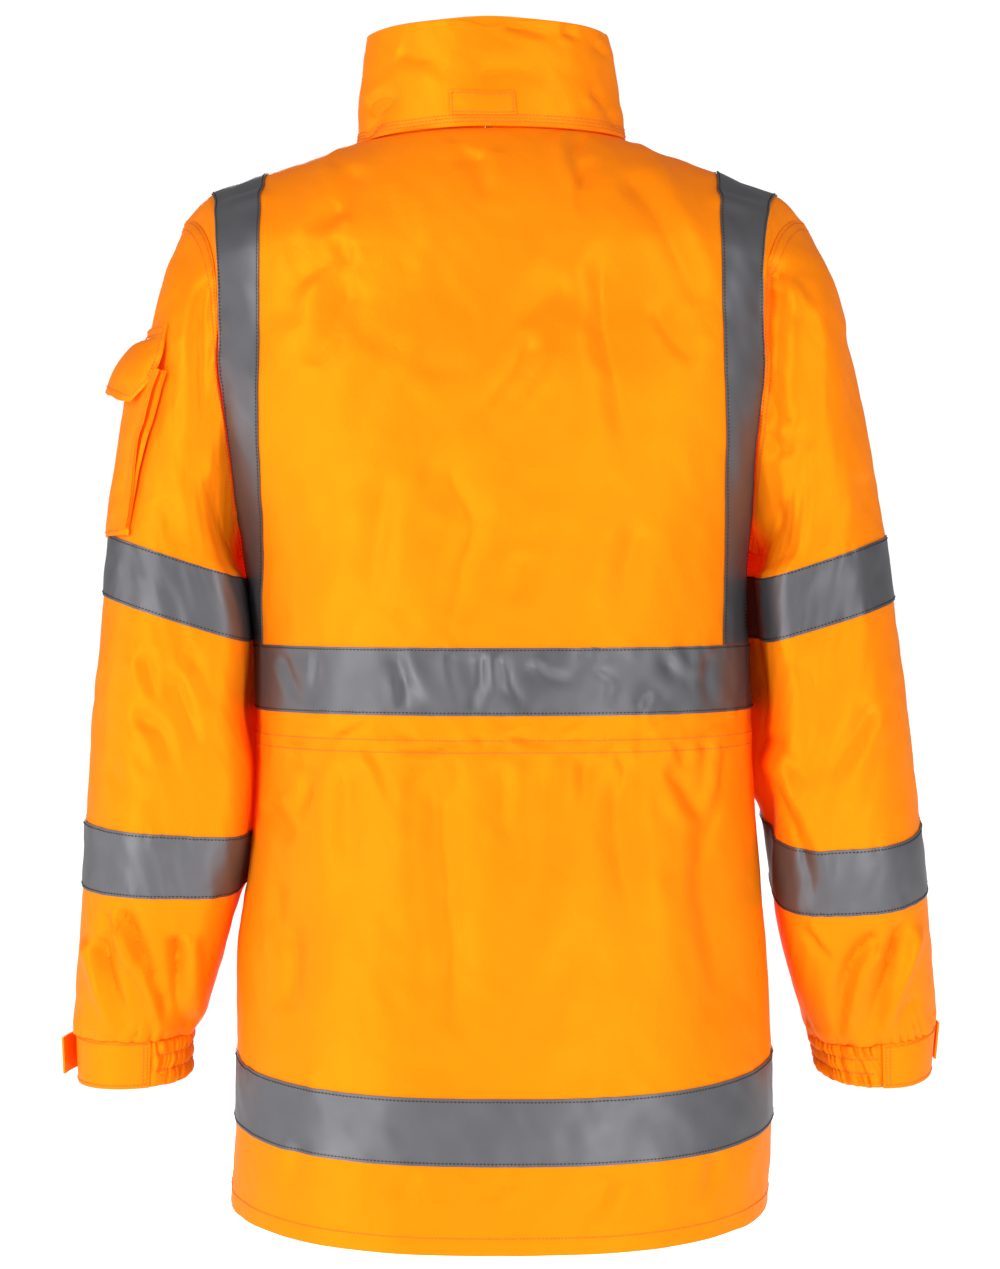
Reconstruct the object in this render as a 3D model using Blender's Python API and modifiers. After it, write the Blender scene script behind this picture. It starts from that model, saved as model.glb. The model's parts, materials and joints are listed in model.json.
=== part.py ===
"""Hi-vis work jacket: a long rain jacket of orange coated cloth with silver reflective tapes, as if worn.

Frame: metres, +Z up. The jacket's front faces -Y and its wearer's left is +X. The origin lies between
the side neck points, at their height, where the wearer's neck and shoulders hold the jacket up.
Every cloth piece is a grid laid on the garment's form and given its wall by Solidify.
"""
import math

import bmesh
import bpy
import numpy as np
from mathutils import Vector

# ---------------------------------------------------------------- driving dimensions
CLOTH = 0.0016              # coated outer cloth with its backing
TAPE = 0.0010               # reflective tape
TAPE_WIDTH = 0.050
SEAM_GAP = 0.0003           # clearance where one piece lies on another
SIDE_SEAM_HALF_GAP = 0.0004
SHOULDER_SEAM_HALF_GAP = 0.0007
ARMHOLE_GAP = 0.0013        # from a panel's edge out to the sleeve's first hoop
TAPE_TO_ARMHOLE = 0.0022    # the brace tape stops this far short of the armhole seam
BRACE_INSIDE = 0.174        # inner edge of a brace tape from the centre line
BRACE_ON_SHOULDER = (0.1725, 0.195, 0.218)
BRACE_GAP = 0.00051         # under a brace tape, which turns over the shoulder
NECK_HALF_WIDTH = 0.105
NECK_BACK = 0.076
NECK_FRONT = 0.080
NECK_DROP = 0.062           # how much lower the neckline is at the centre front
NECK_DROP_POWER = 1.4       # how late that drop comes on the way to the front
SHOULDER_ARC = (60, 90)     # degrees of arc a panel climbs, at the centre line and on the shoulder
SHOULDER_SHIFT = 0.007      # the yoke hangs this far to the wearer's left
ZIP_HALF_OPENING = 0.0036
ZIP_HALF_CHAIN = 0.0028
ZIP_WALL = 0.0020
ZIP_ABOVE_HEM = 0.004       # where the zip's chain starts
ZIP_END_STEP = 0.002        # least run between the chain's ends and the rows between them
COLLAR_GAP = 0.0007         # from the neckline up to the collar
LINING_GAP = 0.0006         # between the collar's two layers
LINING_LIFT = (0.0030, 0.0015)     # how far the inner layer starts and ends above the outer one
PATCH_SIZE = (0.0507, 0.0175)
PATCH_PLACE = (0.0055, 0.0085)     # its middle from the collar's, and its lower edge above the seam
PATCH_GAP = 0.0006
CUFF_HEIGHT_GAP = 0.0006    # between a sleeve's end and its cuff
CUFF_RADIUS = 0.045
ELASTIC_DRAW_IN = 0.0010    # the gathered half lies this much inside the flat band
STRAP_GAP = 0.0008          # under a cuff strap's sewn end
STRAP_SPAN = (0.08, 0.84)   # its upper and lower edge, as parts of the cuff's height
POCKET_GAP = 0.0009         # under the pocket's edges
FLAP_GAP = 0.0003           # under the flap's sewn edge
POCKET_DEPTH = 0.009
POCKET_SIDE = (7.3, 0.35)   # grid column of its open side at row 2, and its drift with each row
POCKET_SIDE_WALL = 0.22     # columns taken by that side's gusset
FLAP_SIDE = (7.0, 0.2)      # grid column of the flap's side, and its drift down to the free edge
FLAP_REACH = 0.025          # the flap's free edge stands this far off
FOLD_END = 0.15             # how early a fold's depth starts and stops, as a part of half a wave

NECK_COLUMNS = 5            # grid columns from the centre line to the side neck point
CENTRE_COLUMNS = 6          # and on to the brace tape
TOP_ROWS = 5                # grid rows from the yoke level up to the neck and shoulder seams
AROUND_ARM = 22             # grid columns round a sleeve
AROUND_CUFF = 12            # grid points along each half of a cuff
ALONG_STRAP = 7
RING_SAMPLES = 240          # points that measure the length of cloth along a level


def table(columns, *rows):
    """A table as one array for each named column."""
    return {name: np.array([row[place] for row in rows], float) for place, name in enumerate(columns)}


# One ring of the body for each level, from the hem up to the yoke. arm_back and arm_front say how far
# behind and before the side line the armhole runs at that level; 0 is the side seam. brace_lean is how
# far both brace tapes have drifted to the wearer's left.
LEVELS = table(
    ("z", "half_width", "back", "front", "roundness", "shift", "tail",
     "arm_back", "arm_front", "brace_lean"),
    (-0.819, 0.2085, 0.1565, 0.150, 2.40, -0.0015, 0.0190, 0.000, 0.000, 0.000),
    (-0.752, 0.2092, 0.156, 0.148, 2.60, -0.0030, 0.0210, 0.000, 0.000, 0.000),
    (-0.701, 0.2080, 0.155, 0.147, 2.60, -0.0025, 0.0225, 0.000, 0.000, 0.000),
    (-0.630, 0.2052, 0.152, 0.145, 2.50, -0.0010, 0.0160, 0.000, 0.000, 0.001),
    (-0.560, 0.2010, 0.148, 0.142, 2.50, -0.0005, 0.0100, 0.000, 0.000, 0.003),
    (-0.490, 0.1945, 0.143, 0.137, 2.45, -0.0010, 0.0060, 0.000, 0.000, 0.005),
    (-0.440, 0.1910, 0.139, 0.133, 2.45, -0.0020, 0.0040, 0.000, 0.000, 0.007),
    (-0.390, 0.1905, 0.138, 0.132, 2.45, -0.0010, 0.0040, 0.000, 0.000, 0.007),
    (-0.352, 0.1930, 0.1385, 0.133, 2.45, 0.0015, 0.0020, 0.000, 0.000, 0.005),
    (-0.318, 0.1965, 0.139, 0.135, 2.40, 0.0030, 0.0000, 0.000, 0.000, 0.003),
    (-0.302, 0.1990, 0.1395, 0.1355, 2.40, 0.0035, 0.0000, 0.030, 0.032, 0.002),
    (-0.275, 0.2055, 0.140, 0.136, 2.40, 0.0045, 0.0000, 0.050, 0.055, 0.001),
    (-0.240, 0.2170, 0.1405, 0.136, 2.40, 0.0055, 0.0000, 0.068, 0.072, 0.000),
    (-0.200, 0.2310, 0.140, 0.133, 2.35, 0.0060, 0.0000, 0.077, 0.080, 0.000),
    (-0.165, 0.2400, 0.134, 0.128, 2.30, 0.0065, 0.0000, 0.078, 0.080, 0.000),
    (-0.130, 0.2440, 0.125, 0.118, 2.20, 0.0070, 0.0000, 0.072, 0.073, 0.000))
HEM_TAPE_LEVELS = (1, 2)
WAIST_TAPE_LEVELS = (6, 7)
ARMPIT_LEVEL = 9
YOKE_LEVEL = 15

# The shoulder ridge, from the side neck point out to the shoulder point.
RIDGE = table(
    ("x", "z"),
    (0.1050, 0.0000), (0.1200, -0.0075), (0.1445, -0.0155),
    (0.1910, -0.0305), (0.2228, -0.0450), (0.2385, -0.0610))

# The stand collar, from the neckline up. height is a part of the collar's height.
COLLAR = table(
    ("height", "half_width", "back", "front"),
    (0.00, 0.1050, 0.0760, 0.080),
    (0.34, 0.1018, 0.0740, 0.080),
    (0.70, 0.0990, 0.0710, 0.079),
    (1.00, 0.0945, 0.0680, 0.077))
COLLAR_TOP_BACK = 0.0825
COLLAR_TOP_FRONT = 0.036

# Hoops of each sleeve, from just past the armhole down to the cuff's edge. out and in are the hoop's
# outer and inner points, seen from behind; depth is half its size from back to front; lean is how much
# its back side sinks for each metre of depth.
HOOP = ("out_x", "out_z", "in_x", "in_z", "depth", "centre_y", "lean")
SLEEVES = {
    "left": table(
        HOOP,
        (0.2570, -0.0920, 0.2040, -0.3215, 0.084, 0.000, 0.00),
        (0.2720, -0.1450, 0.2045, -0.3250, 0.082, 0.001, 0.00),
        (0.2785, -0.1950, 0.2030, -0.3290, 0.079, 0.002, 0.01),
        (0.2880, -0.2500, 0.2010, -0.3340, 0.076, 0.004, 0.02),
        (0.3020, -0.3050, 0.1995, -0.3400, 0.075, 0.006, 0.03),
        (0.3070, -0.3520, 0.1975, -0.3880, 0.074, 0.008, 0.04),
        (0.3130, -0.4100, 0.1970, -0.4400, 0.073, 0.010, 0.06),
        (0.3170, -0.4680, 0.1980, -0.4880, 0.071, 0.011, 0.08),
        (0.3205, -0.5250, 0.2000, -0.5320, 0.068, 0.009, 0.10),
        (0.3240, -0.5770, 0.2045, -0.5785, 0.065, 0.005, 0.10),
        (0.3285, -0.6280, 0.2145, -0.6270, 0.060, -0.002, 0.10),
        (0.3315, -0.6660, 0.2270, -0.6660, 0.054, -0.008, 0.10),
        (0.3320, -0.6970, 0.2400, -0.6960, 0.047, -0.013, 0.10),
        (0.3310, -0.7320, 0.2430, -0.7290, 0.045, -0.018, 0.10)),
    "right": table(
        HOOP,
        (0.2525, -0.0920, 0.2040, -0.3215, 0.084, 0.000, 0.00),
        (0.2700, -0.1450, 0.2045, -0.3250, 0.082, 0.001, 0.00),
        (0.2795, -0.1950, 0.2030, -0.3290, 0.079, 0.002, 0.02),
        (0.2895, -0.2500, 0.2010, -0.3340, 0.076, 0.004, 0.04),
        (0.3000, -0.3060, 0.1990, -0.3390, 0.075, 0.006, 0.06),
        (0.3045, -0.3560, 0.1985, -0.3870, 0.074, 0.008, 0.06),
        (0.3120, -0.4130, 0.1985, -0.4390, 0.073, 0.010, 0.12),
        (0.3195, -0.4700, 0.2005, -0.4870, 0.071, 0.011, 0.20),
        (0.3263, -0.5270, 0.2055, -0.5310, 0.068, 0.008, 0.26),
        (0.3315, -0.5780, 0.2130, -0.5820, 0.065, 0.000, 0.27),
        (0.3375, -0.6300, 0.2225, -0.6300, 0.060, -0.012, 0.27),
        (0.3410, -0.6680, 0.2340, -0.6680, 0.054, -0.024, 0.27),
        (0.3420, -0.6960, 0.2430, -0.6950, 0.047, -0.032, 0.25),
        (0.3390, -0.7290, 0.2500, -0.7260, 0.045, -0.040, 0.25))}
SIDES = {"left": 1, "right": -1}
UPPER_BAND_HOOPS = (5, 6)
LOWER_BAND_HOOPS = (9, 10)
SLEEVE_END_HOOP = 13
CUFF_EDGE_HOOP = 14
SLEEVE_ROUNDNESS = 2.15

# Where the gathered half of each cuff begins and ends, in degrees from the inner side by the back.
CUFF_ELASTIC = {"left": (-106, 74), "right": (-87, 93)}
# The hook-and-loop strap of each cuff: its sewn end, its free end, and how far that stands off.
CUFF_TAB = {"left": (228, 171, 0.0105), "right": (236, 183, 0.0035)}

# The sleeve pocket's rows and its flap's, in the sleeve's grid rows, with how far each is raised as a
# part of the pocket's depth or the flap's reach.
POCKET_ROWS = table(
    ("row", "rise"),
    (2.35, 0.75), (2.5, 0.9), (3.0, 1.0), (4.0, 0.8), (4.6, 0.4), (4.93, 0.0))
FLAP_ROWS = table(
    ("row", "rise"),
    (1.93, 0.0), (2.10, 0.35), (2.42, 0.68), (2.74, 1.0))

# Largest folds, as soft troughs on the back and the fronts: from, to, half width and depth.
FOLD = ("x0", "z0", "x1", "z1", "width", "depth")
BACK_FOLDS = table(
    FOLD,
    (0.047, -0.475, 0.036, -0.690, 0.030, 0.0060),
    (-0.086, -0.475, -0.101, -0.610, 0.028, 0.0050),
    (-0.152, -0.520, -0.166, -0.650, 0.022, 0.0070),
    (0.160, -0.580, 0.161, -0.665, 0.022, 0.0050),
    (-0.079, -0.110, -0.111, -0.270, 0.026, 0.0040),
    (0.047, -0.240, 0.033, -0.345, 0.028, 0.0040))
FRONT_FOLDS = table(
    FOLD,
    (0.070, -0.475, 0.082, -0.680, 0.028, 0.0060),
    (-0.060, -0.480, -0.071, -0.640, 0.028, 0.0055),
    (-0.140, -0.230, -0.070, -0.340, 0.028, 0.0040),
    (0.135, -0.240, 0.075, -0.350, 0.028, 0.0045))

# The pull tab's hinge and the slider that carries it.
SLIDER_SIZE = (0.0092, 0.0014, 0.0125)      # its front plate
SLIDER_CORE = (0.0054, 0.0030, 0.0105)      # between the two collar edges
BAIL_WIDTH = 0.0020
BAIL_BAR = 0.0012
BAIL_INSIDE = 0.0029                        # from the plate to the bail's inside
BAIL_HALF_HEIGHT = 0.0041
TAB_SIZE = (0.0066, 0.0015, 0.0290)
TAB_EYE = (0.0034, 0.0054)
TAB_TOP_BAR = 0.0015
TAB_OFF_PLATE = 0.0015                      # hinge axis in front of the plate
SLIDER_BELOW_COLLAR_TOP = 0.0110
SLIDER_CLEARANCE = 0.0007                   # its plate in front of the zip's line
CAST_OVERLAP = 0.0002                       # how deep the slider's parts run into each other
HINGE_BELOW_MIDDLE = 0.0008                 # the pull hangs this far below the bail's middle

COLOURS = {
    "orange cloth": ((1.0, 0.27, 0.01), 0.55, 0.0),
    "orange tab": ((1.0, 0.25, 0.01), 0.60, 0.0),
    "reflective tape": ((0.18, 0.18, 0.19), 0.35, 0.0),
    "zip coil": ((0.85, 0.22, 0.01), 0.40, 0.0),
    "zip metal": ((0.30, 0.30, 0.31), 0.35, 1.0)}


# ---------------------------------------------------------------- the body's form
def ring(level, turn, face):
    """Points of a level ring. turn runs in radians from the centre line, positive to the left."""
    row = {name: column[level] for name, column in LEVELS.items()}
    power = 2 / row["roundness"]
    across = np.sin(turn)
    away = np.abs(np.cos(turn))
    x = row["shift"] + row["half_width"] * np.sign(across) * np.abs(across) ** power
    y = face * row["back" if face > 0 else "front"] * away ** power
    z = row["z"] - (row["tail"] * away if face > 0 else 0 * away)
    return np.stack([x, y, z], -1)


def body_row(level, face, side):
    """One row of a half panel from the centre line to the side seam or armhole, by length of cloth."""
    depth = LEVELS["back" if face > 0 else "front"][level]
    edge_y = LEVELS["arm_back" if face > 0 else "arm_front"][level]
    last_turn = math.acos((edge_y / depth) ** (LEVELS["roundness"][level] / 2))
    fine = ring(level, side * np.linspace(0, last_turn, RING_SAMPLES), face)
    run = np.concatenate([[0], np.cumsum(np.linalg.norm(np.diff(fine, axis=0), axis=1))])
    off_centre = np.abs(fine[:, 0] - LEVELS["shift"][level])
    start = 0 if face > 0 else ZIP_HALF_OPENING
    inner = np.interp(BRACE_INSIDE + side * LEVELS["brace_lean"][level], off_centre, run)
    outer = min(inner + TAPE_WIDTH, run[-1] - TAPE_TO_ARMHOLE)
    stops = np.concatenate([
        np.linspace(start, inner, CENTRE_COLUMNS + 1),
        [(inner + outer) / 2, outer, (outer + run[-1]) / 2, run[-1]]])
    return np.stack([np.interp(stops, run, fine[:, axis]) for axis in range(3)], -1)


def seam_top(face, side):
    """The upper edge of a half panel: half the neckline, then the shoulder seam."""
    turn = np.radians(90 / NECK_COLUMNS) * np.arange(NECK_COLUMNS + 1)
    depth = NECK_BACK if face > 0 else NECK_FRONT
    drop = 0 if face > 0 else NECK_DROP
    neck_x = NECK_HALF_WIDTH * np.sin(turn)
    if face < 0:
        neck_x = np.maximum(neck_x, ZIP_HALF_OPENING)
    neck = np.stack([neck_x, face * depth * np.cos(turn), -drop * np.cos(turn) ** NECK_DROP_POWER], -1)
    ridge_x = np.array([*BRACE_ON_SHOULDER, (BRACE_ON_SHOULDER[-1] + RIDGE["x"][-1]) / 2, RIDGE["x"][-1]])
    ridge = np.stack([ridge_x, 0 * ridge_x, np.interp(ridge_x, RIDGE["x"], RIDGE["z"])], -1)
    edge = np.concatenate([neck, ridge])
    edge[:, 0] = SHOULDER_SHIFT + side * edge[:, 0]
    return edge


def top_rows(yoke, face, side):
    """Rows from the yoke level up to the seams: each column climbs a quarter arc over the shoulder."""
    edge = seam_top(face, side)
    column = np.minimum(np.arange(len(edge)) / NECK_COLUMNS, 1)
    last = np.radians(np.interp(column ** 2, (0, 1), SHOULDER_ARC))
    rows = []
    for step in range(1, TOP_ROWS + 1):
        turn = last * step / TOP_ROWS
        leaning = ((1 - np.cos(turn)) / (1 - np.cos(last)))[:, None]
        rising = (np.sin(turn) / np.sin(last))[:, None]
        flat = yoke[:, :2] + (edge[:, :2] - yoke[:, :2]) * leaning
        height = yoke[:, 2:] + (edge[:, 2:] - yoke[:, 2:]) * rising
        rows.append(np.concatenate([flat, height], axis=1))
    return rows


def press_folds(grid, folds):
    """Sink each fold of the table into the grid, along y."""
    x, z = grid[..., 0], grid[..., 2]
    sunk = np.zeros(x.shape)
    for x0, z0, x1, z1, width, depth in zip(*(folds[name] for name in FOLD)):
        length = (x1 - x0) ** 2 + (z1 - z0) ** 2
        along = np.clip(((x - x0) * (x1 - x0) + (z - z0) * (z1 - z0)) / length, 0, 1)
        off = np.hypot(x - x0 - along * (x1 - x0), z - z0 - along * (z1 - z0))
        swell = np.sin(math.pi * (FOLD_END + (1 - 2 * FOLD_END) * along))
        sunk += depth * np.exp(-(off / width) ** 2) * swell
    grid[..., 1] -= np.sign(grid[..., 1]) * sunk


def half_panel(face, side):
    """The outer face of a half back (face 1) or a front (face -1), hem row first, centre line first."""
    rows = [body_row(level, face, side) for level in range(YOKE_LEVEL + 1)]
    rows += top_rows(rows[-1], face, side)
    grid = np.array(rows)
    press_folds(grid, BACK_FOLDS if face > 0 else FRONT_FOLDS)
    return grid


def seam_gapped(grid, face):
    """The same grid drawn back from its side and shoulder seams."""
    gapped = grid.copy()
    on_side_line = np.abs(gapped[..., 1]) < 1e-5
    gapped[..., 1] = np.where(on_side_line, face * SIDE_SEAM_HALF_GAP, gapped[..., 1])
    gapped[-1, :, 1] = np.where(on_side_line[-1], face * SHOULDER_SEAM_HALF_GAP, gapped[-1, :, 1])
    return gapped


def axis_of(grid):
    """A point inside the body for each row, to tell the outer side."""
    inside = grid.mean(axis=1, keepdims=True)
    inside[..., :2] = 0
    inside[..., 2] = np.minimum(inside[..., 2], LEVELS["z"][YOKE_LEVEL])
    return inside


# ---------------------------------------------------------------- the sleeves' form
def hoop(side_name, number, turn):
    """Points of a sleeve hoop. turn runs in radians from the inner side round by the back."""
    row = {name: column[number - 1] for name, column in SLEEVES[side_name].items()}
    side = SIDES[side_name]
    power = 2 / SLEEVE_ROUNDNESS
    across = -np.sign(np.cos(turn)) * np.abs(np.cos(turn)) ** power
    deep = np.sign(np.sin(turn)) * np.abs(np.sin(turn)) ** power
    x = (row["out_x"] + row["in_x"]) / 2 + (row["out_x"] - row["in_x"]) / 2 * across
    z = (row["out_z"] + row["in_z"]) / 2 + (row["out_z"] - row["in_z"]) / 2 * across
    y = row["centre_y"] + row["depth"] * deep
    return np.stack([side * x, y, z - row["lean"] * row["depth"] * deep], -1)


def armhole(side_name, back, front):
    """The armhole seam, from the armpit up the back panel's edge and down the front's."""
    up = back[ARMPIT_LEVEL:, -1]
    down = front[ARMPIT_LEVEL + 1:-1, -1][::-1]
    seam = np.concatenate([up, down, up[:1]])
    seam[:, 0] += SIDES[side_name] * ARMHOLE_GAP
    return seam


def sleeve_grid(side_name, panels):
    """The outer face of a sleeve, from the armhole down to where the cuff is sewn on."""
    turn = np.linspace(0, 2 * math.pi, AROUND_ARM + 1)
    rows = [armhole(side_name, panels["back", side_name], panels["front", side_name])]
    rows += [hoop(side_name, number, turn) for number in range(1, SLEEVE_END_HOOP + 1)]
    return np.array(rows)


def on_grid(grid, row, column):
    """A point between the grid's own points, so that what lies there follows the facets."""
    low_row = min(int(row), grid.shape[0] - 2)
    low_column = min(int(column), grid.shape[1] - 2)
    along, across = row - low_row, column - low_column
    near = grid[low_row, low_column] * (1 - across) + grid[low_row, low_column + 1] * across
    far = grid[low_row + 1, low_column] * (1 - across) + grid[low_row + 1, low_column + 1] * across
    return near * (1 - along) + far * along


# ---------------------------------------------------------------- mesh helpers
def outward(grid, inside):
    """Unit normals of a grid that point away from the inside points."""
    normal = np.cross(np.gradient(grid, axis=1), np.gradient(grid, axis=0))
    normal /= np.maximum(np.linalg.norm(normal, axis=2, keepdims=True), 1e-12)
    return normal * np.sign(np.sum(normal * (grid - inside)))


def lifted(grid, inside, lift):
    """The grid moved out by lift, which may differ from point to point."""
    return grid + outward(grid, inside) * np.asarray(lift, float)[..., None]


def material(name):
    """The named material, made once."""
    made = bpy.data.materials.get(name)
    if made:
        return made
    colour, roughness, metallic = COLOURS[name]
    made = bpy.data.materials.new(name)
    made.use_nodes = True
    shader = made.node_tree.nodes["Principled BSDF"]
    shader.inputs["Base Color"].default_value = (*colour, 1)
    shader.inputs["Roughness"].default_value = roughness
    shader.inputs["Metallic"].default_value = metallic
    made.diffuse_color = (*colour, 1)
    return made


def finish(name, mesh, collection, finish_name):
    """A named object of a finished mesh, with its material, in the jacket's collection."""
    made = bpy.data.objects.new(name, mesh)
    mesh.materials.append(material(finish_name))
    collection.objects.link(made)
    return made


def cloth(name, grid, inside, collection, finish_name="orange cloth", wall=CLOTH, closed=False):
    """A cloth piece: a grid primitive laid on its outer face, its wall turned inwards."""
    shape = bmesh.new()
    bmesh.ops.create_grid(shape, x_segments=grid.shape[1] - 1, y_segments=grid.shape[0] - 1, size=1)
    for vertex, place in zip(shape.verts, grid.reshape(-1, 3)):
        vertex.co = place
    if closed:
        bmesh.ops.remove_doubles(shape, verts=shape.verts, dist=1e-6)
    shape.normal_update()
    middle = np.broadcast_to(inside, grid.shape).reshape(-1, 3)
    centres = grid.reshape(-1, 3)
    facing = 0
    for face in shape.faces:
        nearest = np.argmin(np.sum((centres - np.array(face.calc_center_median())) ** 2, axis=1))
        facing += face.normal.dot(face.calc_center_median() - Vector(middle[nearest]))
    if facing < 0:
        bmesh.ops.reverse_faces(shape, faces=shape.faces)
    bmesh.ops.triangulate(shape, faces=shape.faces, quad_method="SHORT_EDGE")
    mesh = bpy.data.meshes.new(name)
    shape.to_mesh(mesh)
    shape.free()
    made = finish(name, mesh, collection, finish_name)
    thickness = made.modifiers.new("Wall", "SOLIDIFY")
    thickness.thickness = wall
    thickness.offset = -1
    return made


def box_mesh(name, size, place):
    """A box primitive of the given size, centred on a place."""
    shape = bmesh.new()
    bmesh.ops.create_cube(shape, size=1)
    bmesh.ops.scale(shape, vec=size, verts=shape.verts)
    bmesh.ops.translate(shape, vec=place, verts=shape.verts)
    mesh = bpy.data.meshes.new(name)
    shape.to_mesh(mesh)
    shape.free()
    return mesh


def cutter(name, size, place, collection):
    """A hidden box that shapes another piece."""
    made = bpy.data.objects.new(name, box_mesh(name, size, place))
    made.hide_render = True
    made.display_type = "WIRE"
    collection.objects.link(made)
    return made


def combine(target, other, operation):
    """A Boolean on the target with a hidden box."""
    step = target.modifiers.new(other.name, "BOOLEAN")
    step.operation = operation
    step.object = other


# ---------------------------------------------------------------- the pieces
def body_panels(panels, collection):
    """The back, cut in one, and the two fronts."""
    left, right = (seam_gapped(panels["back", name], 1) for name in ("left", "right"))
    back = np.concatenate([right[:, :0:-1], left], axis=1)
    cloth("back", back, axis_of(back), collection)
    for name in SIDES:
        front = seam_gapped(panels["front", name], -1)
        cloth(f"front_{name}", front, axis_of(front), collection)


def hoop_tape(name, levels, panels, collection):
    """A tape round the body from one zip edge to the other."""
    rows = slice(levels[0], levels[1] + 1)
    belt = np.concatenate([
        panels["front", "right"][rows],
        panels["back", "right"][rows, -2::-1],
        panels["back", "left"][rows, 1:],
        panels["front", "left"][rows, -2::-1]], axis=1)
    inside = axis_of(belt)
    cloth(name, lifted(belt, inside, SEAM_GAP + TAPE), inside, collection, "reflective tape", TAPE)


def brace_tape(side_name, panels, collection):
    """A tape from the waist tape up the back, over the shoulder and down the front."""
    columns = slice(CENTRE_COLUMNS, CENTRE_COLUMNS + 3)
    first = WAIST_TAPE_LEVELS[1]
    back = panels["back", side_name][first:, columns]
    front = panels["front", side_name][first:, columns]
    strip = np.concatenate([back, front[-2::-1]])
    inside = axis_of(strip)
    raised = lifted(strip, inside, BRACE_GAP + TAPE)
    for end, neighbour in ((0, 1), (-1, -2)):
        step = raised[neighbour] - raised[end]
        raised[end] += step / np.linalg.norm(step, axis=1, keepdims=True) * SEAM_GAP
    cloth(f"tape_brace_{side_name}", raised, inside, collection, "reflective tape", TAPE)


def collar_turns(half_opening, radius):
    """Turns round the collar from the right zip edge by the back to the left one."""
    quarter = np.radians(90 / NECK_COLUMNS) * np.arange(NECK_COLUMNS + 1)
    front = quarter.copy()
    front[0] = math.asin(half_opening / radius)
    return np.concatenate([front - math.pi, -quarter[-2::-1], quarter[1:], math.pi - front[-2::-1]])


def collar_grid(inset, base_lift, top_lift):
    """A layer of the stand collar, inset from its outer face."""
    turn = collar_turns(ZIP_HALF_OPENING, NECK_HALF_WIDTH)
    front = np.maximum(-np.cos(turn), 0)
    rows = []
    for height, half_width, back, ahead in zip(*(COLLAR[name] for name in COLLAR)):
        depth = np.where(np.cos(turn) > 0, back, ahead) - inset
        low = -NECK_DROP * front ** NECK_DROP_POWER + base_lift
        rim = COLLAR_TOP_BACK + (COLLAR_TOP_FRONT - COLLAR_TOP_BACK) * front ** NECK_DROP_POWER + top_lift
        rows.append(np.stack([
            SHOULDER_SHIFT + (half_width - inset) * np.sin(turn),
            depth * np.cos(turn),
            low + (rim - low) * height], -1))
    return np.array(rows)


def collar(collection):
    """The stand collar's outer and inner layers, and the small patch sewn on behind."""
    outer = collar_grid(0, COLLAR_GAP, 0)
    inside = outer.mean(axis=1, keepdims=True)
    cloth("collar_outer", outer, inside, collection)
    inner = collar_grid(CLOTH + LINING_GAP, *LINING_LIFT)
    cloth("collar_inner", inner, inside, collection)
    width, height = PATCH_SIZE
    first, last = PATCH_PLACE[0] - width / 2, PATCH_PLACE[0] + width / 2
    columns = (first, first / 2, 0, last / 2, last)
    low, high = PATCH_PLACE[1], PATCH_PLACE[1] + height
    middle = NECK_COLUMNS * 2
    column_width = NECK_HALF_WIDTH * math.radians(90 / NECK_COLUMNS)
    patch = []
    for z in (low, (low + high) / 2, high):
        row_place = np.interp(z / COLLAR_TOP_BACK, COLLAR["height"], np.arange(len(COLLAR["height"])))
        patch.append([on_grid(outer, row_place, middle + x / column_width) for x in columns])
    patch = np.array(patch)
    patch_inside = patch.mean(axis=(0, 1), keepdims=True) * (1, 0, 1)
    raised = lifted(patch, patch_inside, PATCH_GAP + TAPE)
    cloth("collar_patch", raised, patch_inside, collection, wall=TAPE)


def arm_tape(name, grid, hoops, collection):
    """A reflective band round a sleeve."""
    strip = grid[hoops[0]:hoops[1] + 1]
    inside = strip.mean(axis=1, keepdims=True)
    looped = np.concatenate([strip[:, -2:-1], strip, strip[:, 1:2]], axis=1)
    raised = lifted(looped, inside, SEAM_GAP + TAPE)[:, 1:-1]
    raised[:, -1] = raised[:, 0]
    cloth(name, raised, inside, collection, "reflective tape", TAPE, closed=True)


def cuff(side_name, collection):
    """A half gathered cuff: its flat band, its elastic part and its hook-and-loop strap."""
    low, high = CUFF_ELASTIC[side_name]
    gap = math.degrees(SEAM_GAP * 2 / CUFF_RADIUS)
    spans = {"elastic": (low + gap, high - gap, ELASTIC_DRAW_IN), "band": (high, low + 360, 0)}
    for part, (start, end, draw_in) in spans.items():
        turn = np.radians(np.linspace(start, end, AROUND_CUFF))
        top = hoop(side_name, SLEEVE_END_HOOP, turn) - (0, 0, CUFF_HEIGHT_GAP)
        bottom = hoop(side_name, CUFF_EDGE_HOOP, turn)
        grid = np.array([top, (top + bottom) / 2, bottom])
        inside = hoop_centre(side_name, grid)
        grid = lifted(grid, inside, -draw_in)
        cloth(f"cuff_{part}_{side_name}", grid, inside, collection)
    sewn, free, stand_off = CUFF_TAB[side_name]
    turn = np.radians(np.linspace(sewn, free, ALONG_STRAP))
    top = hoop(side_name, SLEEVE_END_HOOP, turn)
    bottom = hoop(side_name, CUFF_EDGE_HOOP, turn)
    strap = np.array([top + (bottom - top) * part for part in STRAP_SPAN])
    inside = hoop_centre(side_name, strap)
    rise = np.linspace(0, 1, ALONG_STRAP) ** 2 * stand_off
    raised = lifted(strap, inside, np.broadcast_to(STRAP_GAP + CLOTH + rise, strap.shape[:2]))
    cloth(f"cuff_tab_{side_name}", raised, inside, collection, "orange tab")


def hoop_centre(side_name, grid):
    """The sleeve's middle at the cuff, once for each row."""
    round_turn = np.linspace(0, 2 * math.pi, 13)[:-1]
    centre = hoop(side_name, CUFF_EDGE_HOOP, round_turn).mean(axis=0)
    return np.array([[[centre[0], centre[1], row[:, 2].mean()]] for row in grid])


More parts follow.
